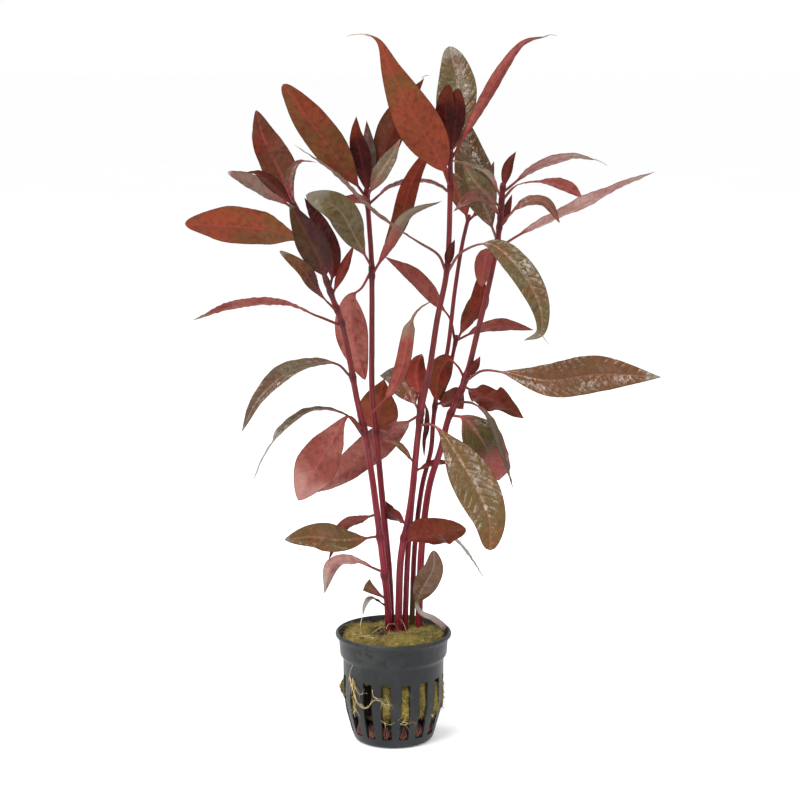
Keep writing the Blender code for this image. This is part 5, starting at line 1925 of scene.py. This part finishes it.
@dataclass
class Studio:
    """The camera, the pale floor and the soft lights."""
    camera_place: Place = (2.8, -812.0, 287.5)
    camera_down_deg: float = 9.85
    lens: float = 88.79
    floor_size: float = 60.0
    floor_height: float = -0.2
    floor_glow: float = 0.1
    world_strength: float = 1.0
    lamp_target: Place = (0.0, 0.0, 150.0)
    lamps: tuple[tuple[str, Place, float, float], ...] = (
        ("key", (-420.0, -560.0, 950.0), 0.6, 10.6),
        ("back_left", (-550.0, 350.0, 950.0), 0.32, 3.0),
        ("right", (650.0, -250.0, 900.0), 0.32, 1.6))

    def camera(self) -> None:
        """Set the camera at the photograph's viewing angle."""
        lens = bpy.data.cameras.new("camera")
        lens.lens = self.lens
        lens.sensor_width = 36.0
        lens.clip_start, lens.clip_end = 0.01, 100.0
        camera = bpy.data.objects.new("camera", lens)
        camera.location = Vector(self.camera_place) * MM
        camera.rotation_euler = (math.radians(90 - self.camera_down_deg), 0.0, 0.0)
        bpy.context.scene.collection.objects.link(camera)
        bpy.context.scene.camera = camera

    def floor(self) -> None:
        """Lay the pale floor."""
        half = self.floor_size / 2
        corners = [(x * half, y * half, self.floor_height * MM)
                   for x, y in ((-1, -1), (1, -1), (1, 1), (-1, 1))]
        mesh = bpy.data.meshes.new("floor")
        mesh.from_pydata(corners, [], [(0, 1, 2, 3)])
        paint = Paint("floor_card")
        pale = paint.mix(paint.noise(4.0, 2.0), (0.87, 0.87, 0.88), (0.90, 0.90, 0.90))
        mesh.materials.append(paint.set(
            Base_Color=pale, Roughness=0.8, Specular_IOR_Level=0.1,
            Emission_Color=(1.0, 1.0, 1.0, 1.0), Emission_Strength=self.floor_glow))
        link_object("floor", mesh)

    def lights(self) -> None:
        """Hang the soft lamps and set the white surroundings."""
        for name, place, size, power in self.lamps:
            lamp = bpy.data.lights.new(name, "AREA")
            lamp.shape = "DISK"
            lamp.size = size
            lamp.energy = power
            body = bpy.data.objects.new(name, lamp)
            body.location = Vector(place) * MM
            aim = Vector(self.lamp_target) * MM - body.location
            body.rotation_euler = aim.to_track_quat("-Z", "Y").to_euler()
            bpy.context.scene.collection.objects.link(body)
        world = bpy.data.worlds.new("studio")
        world.use_nodes = True
        backdrop = world.node_tree.nodes["Background"]
        backdrop.inputs[0].default_value = (1.0, 1.0, 1.0, 1.0)
        backdrop.inputs[1].default_value = self.world_strength
        bpy.context.scene.world = world
        bpy.context.scene.view_settings.view_transform = "Standard"

    def build(self) -> None:
        """Set up the whole studio."""
        self.camera()
        self.floor()
        self.lights()


def main() -> None:
    """Make every piece in order."""
    logging.basicConfig(level=logging.INFO, format="%(name)s: %(message)s")
    Studio().build()
    pot = NetPot()
    pot.build()
    RockwoolPlug().build(pot)
    RootGrowth(pot).build()
    foliage = Foliage()
    foliage.stems()
    foliage.leaves()
    foliage.hairs()


if __name__ == "__main__":
    main()
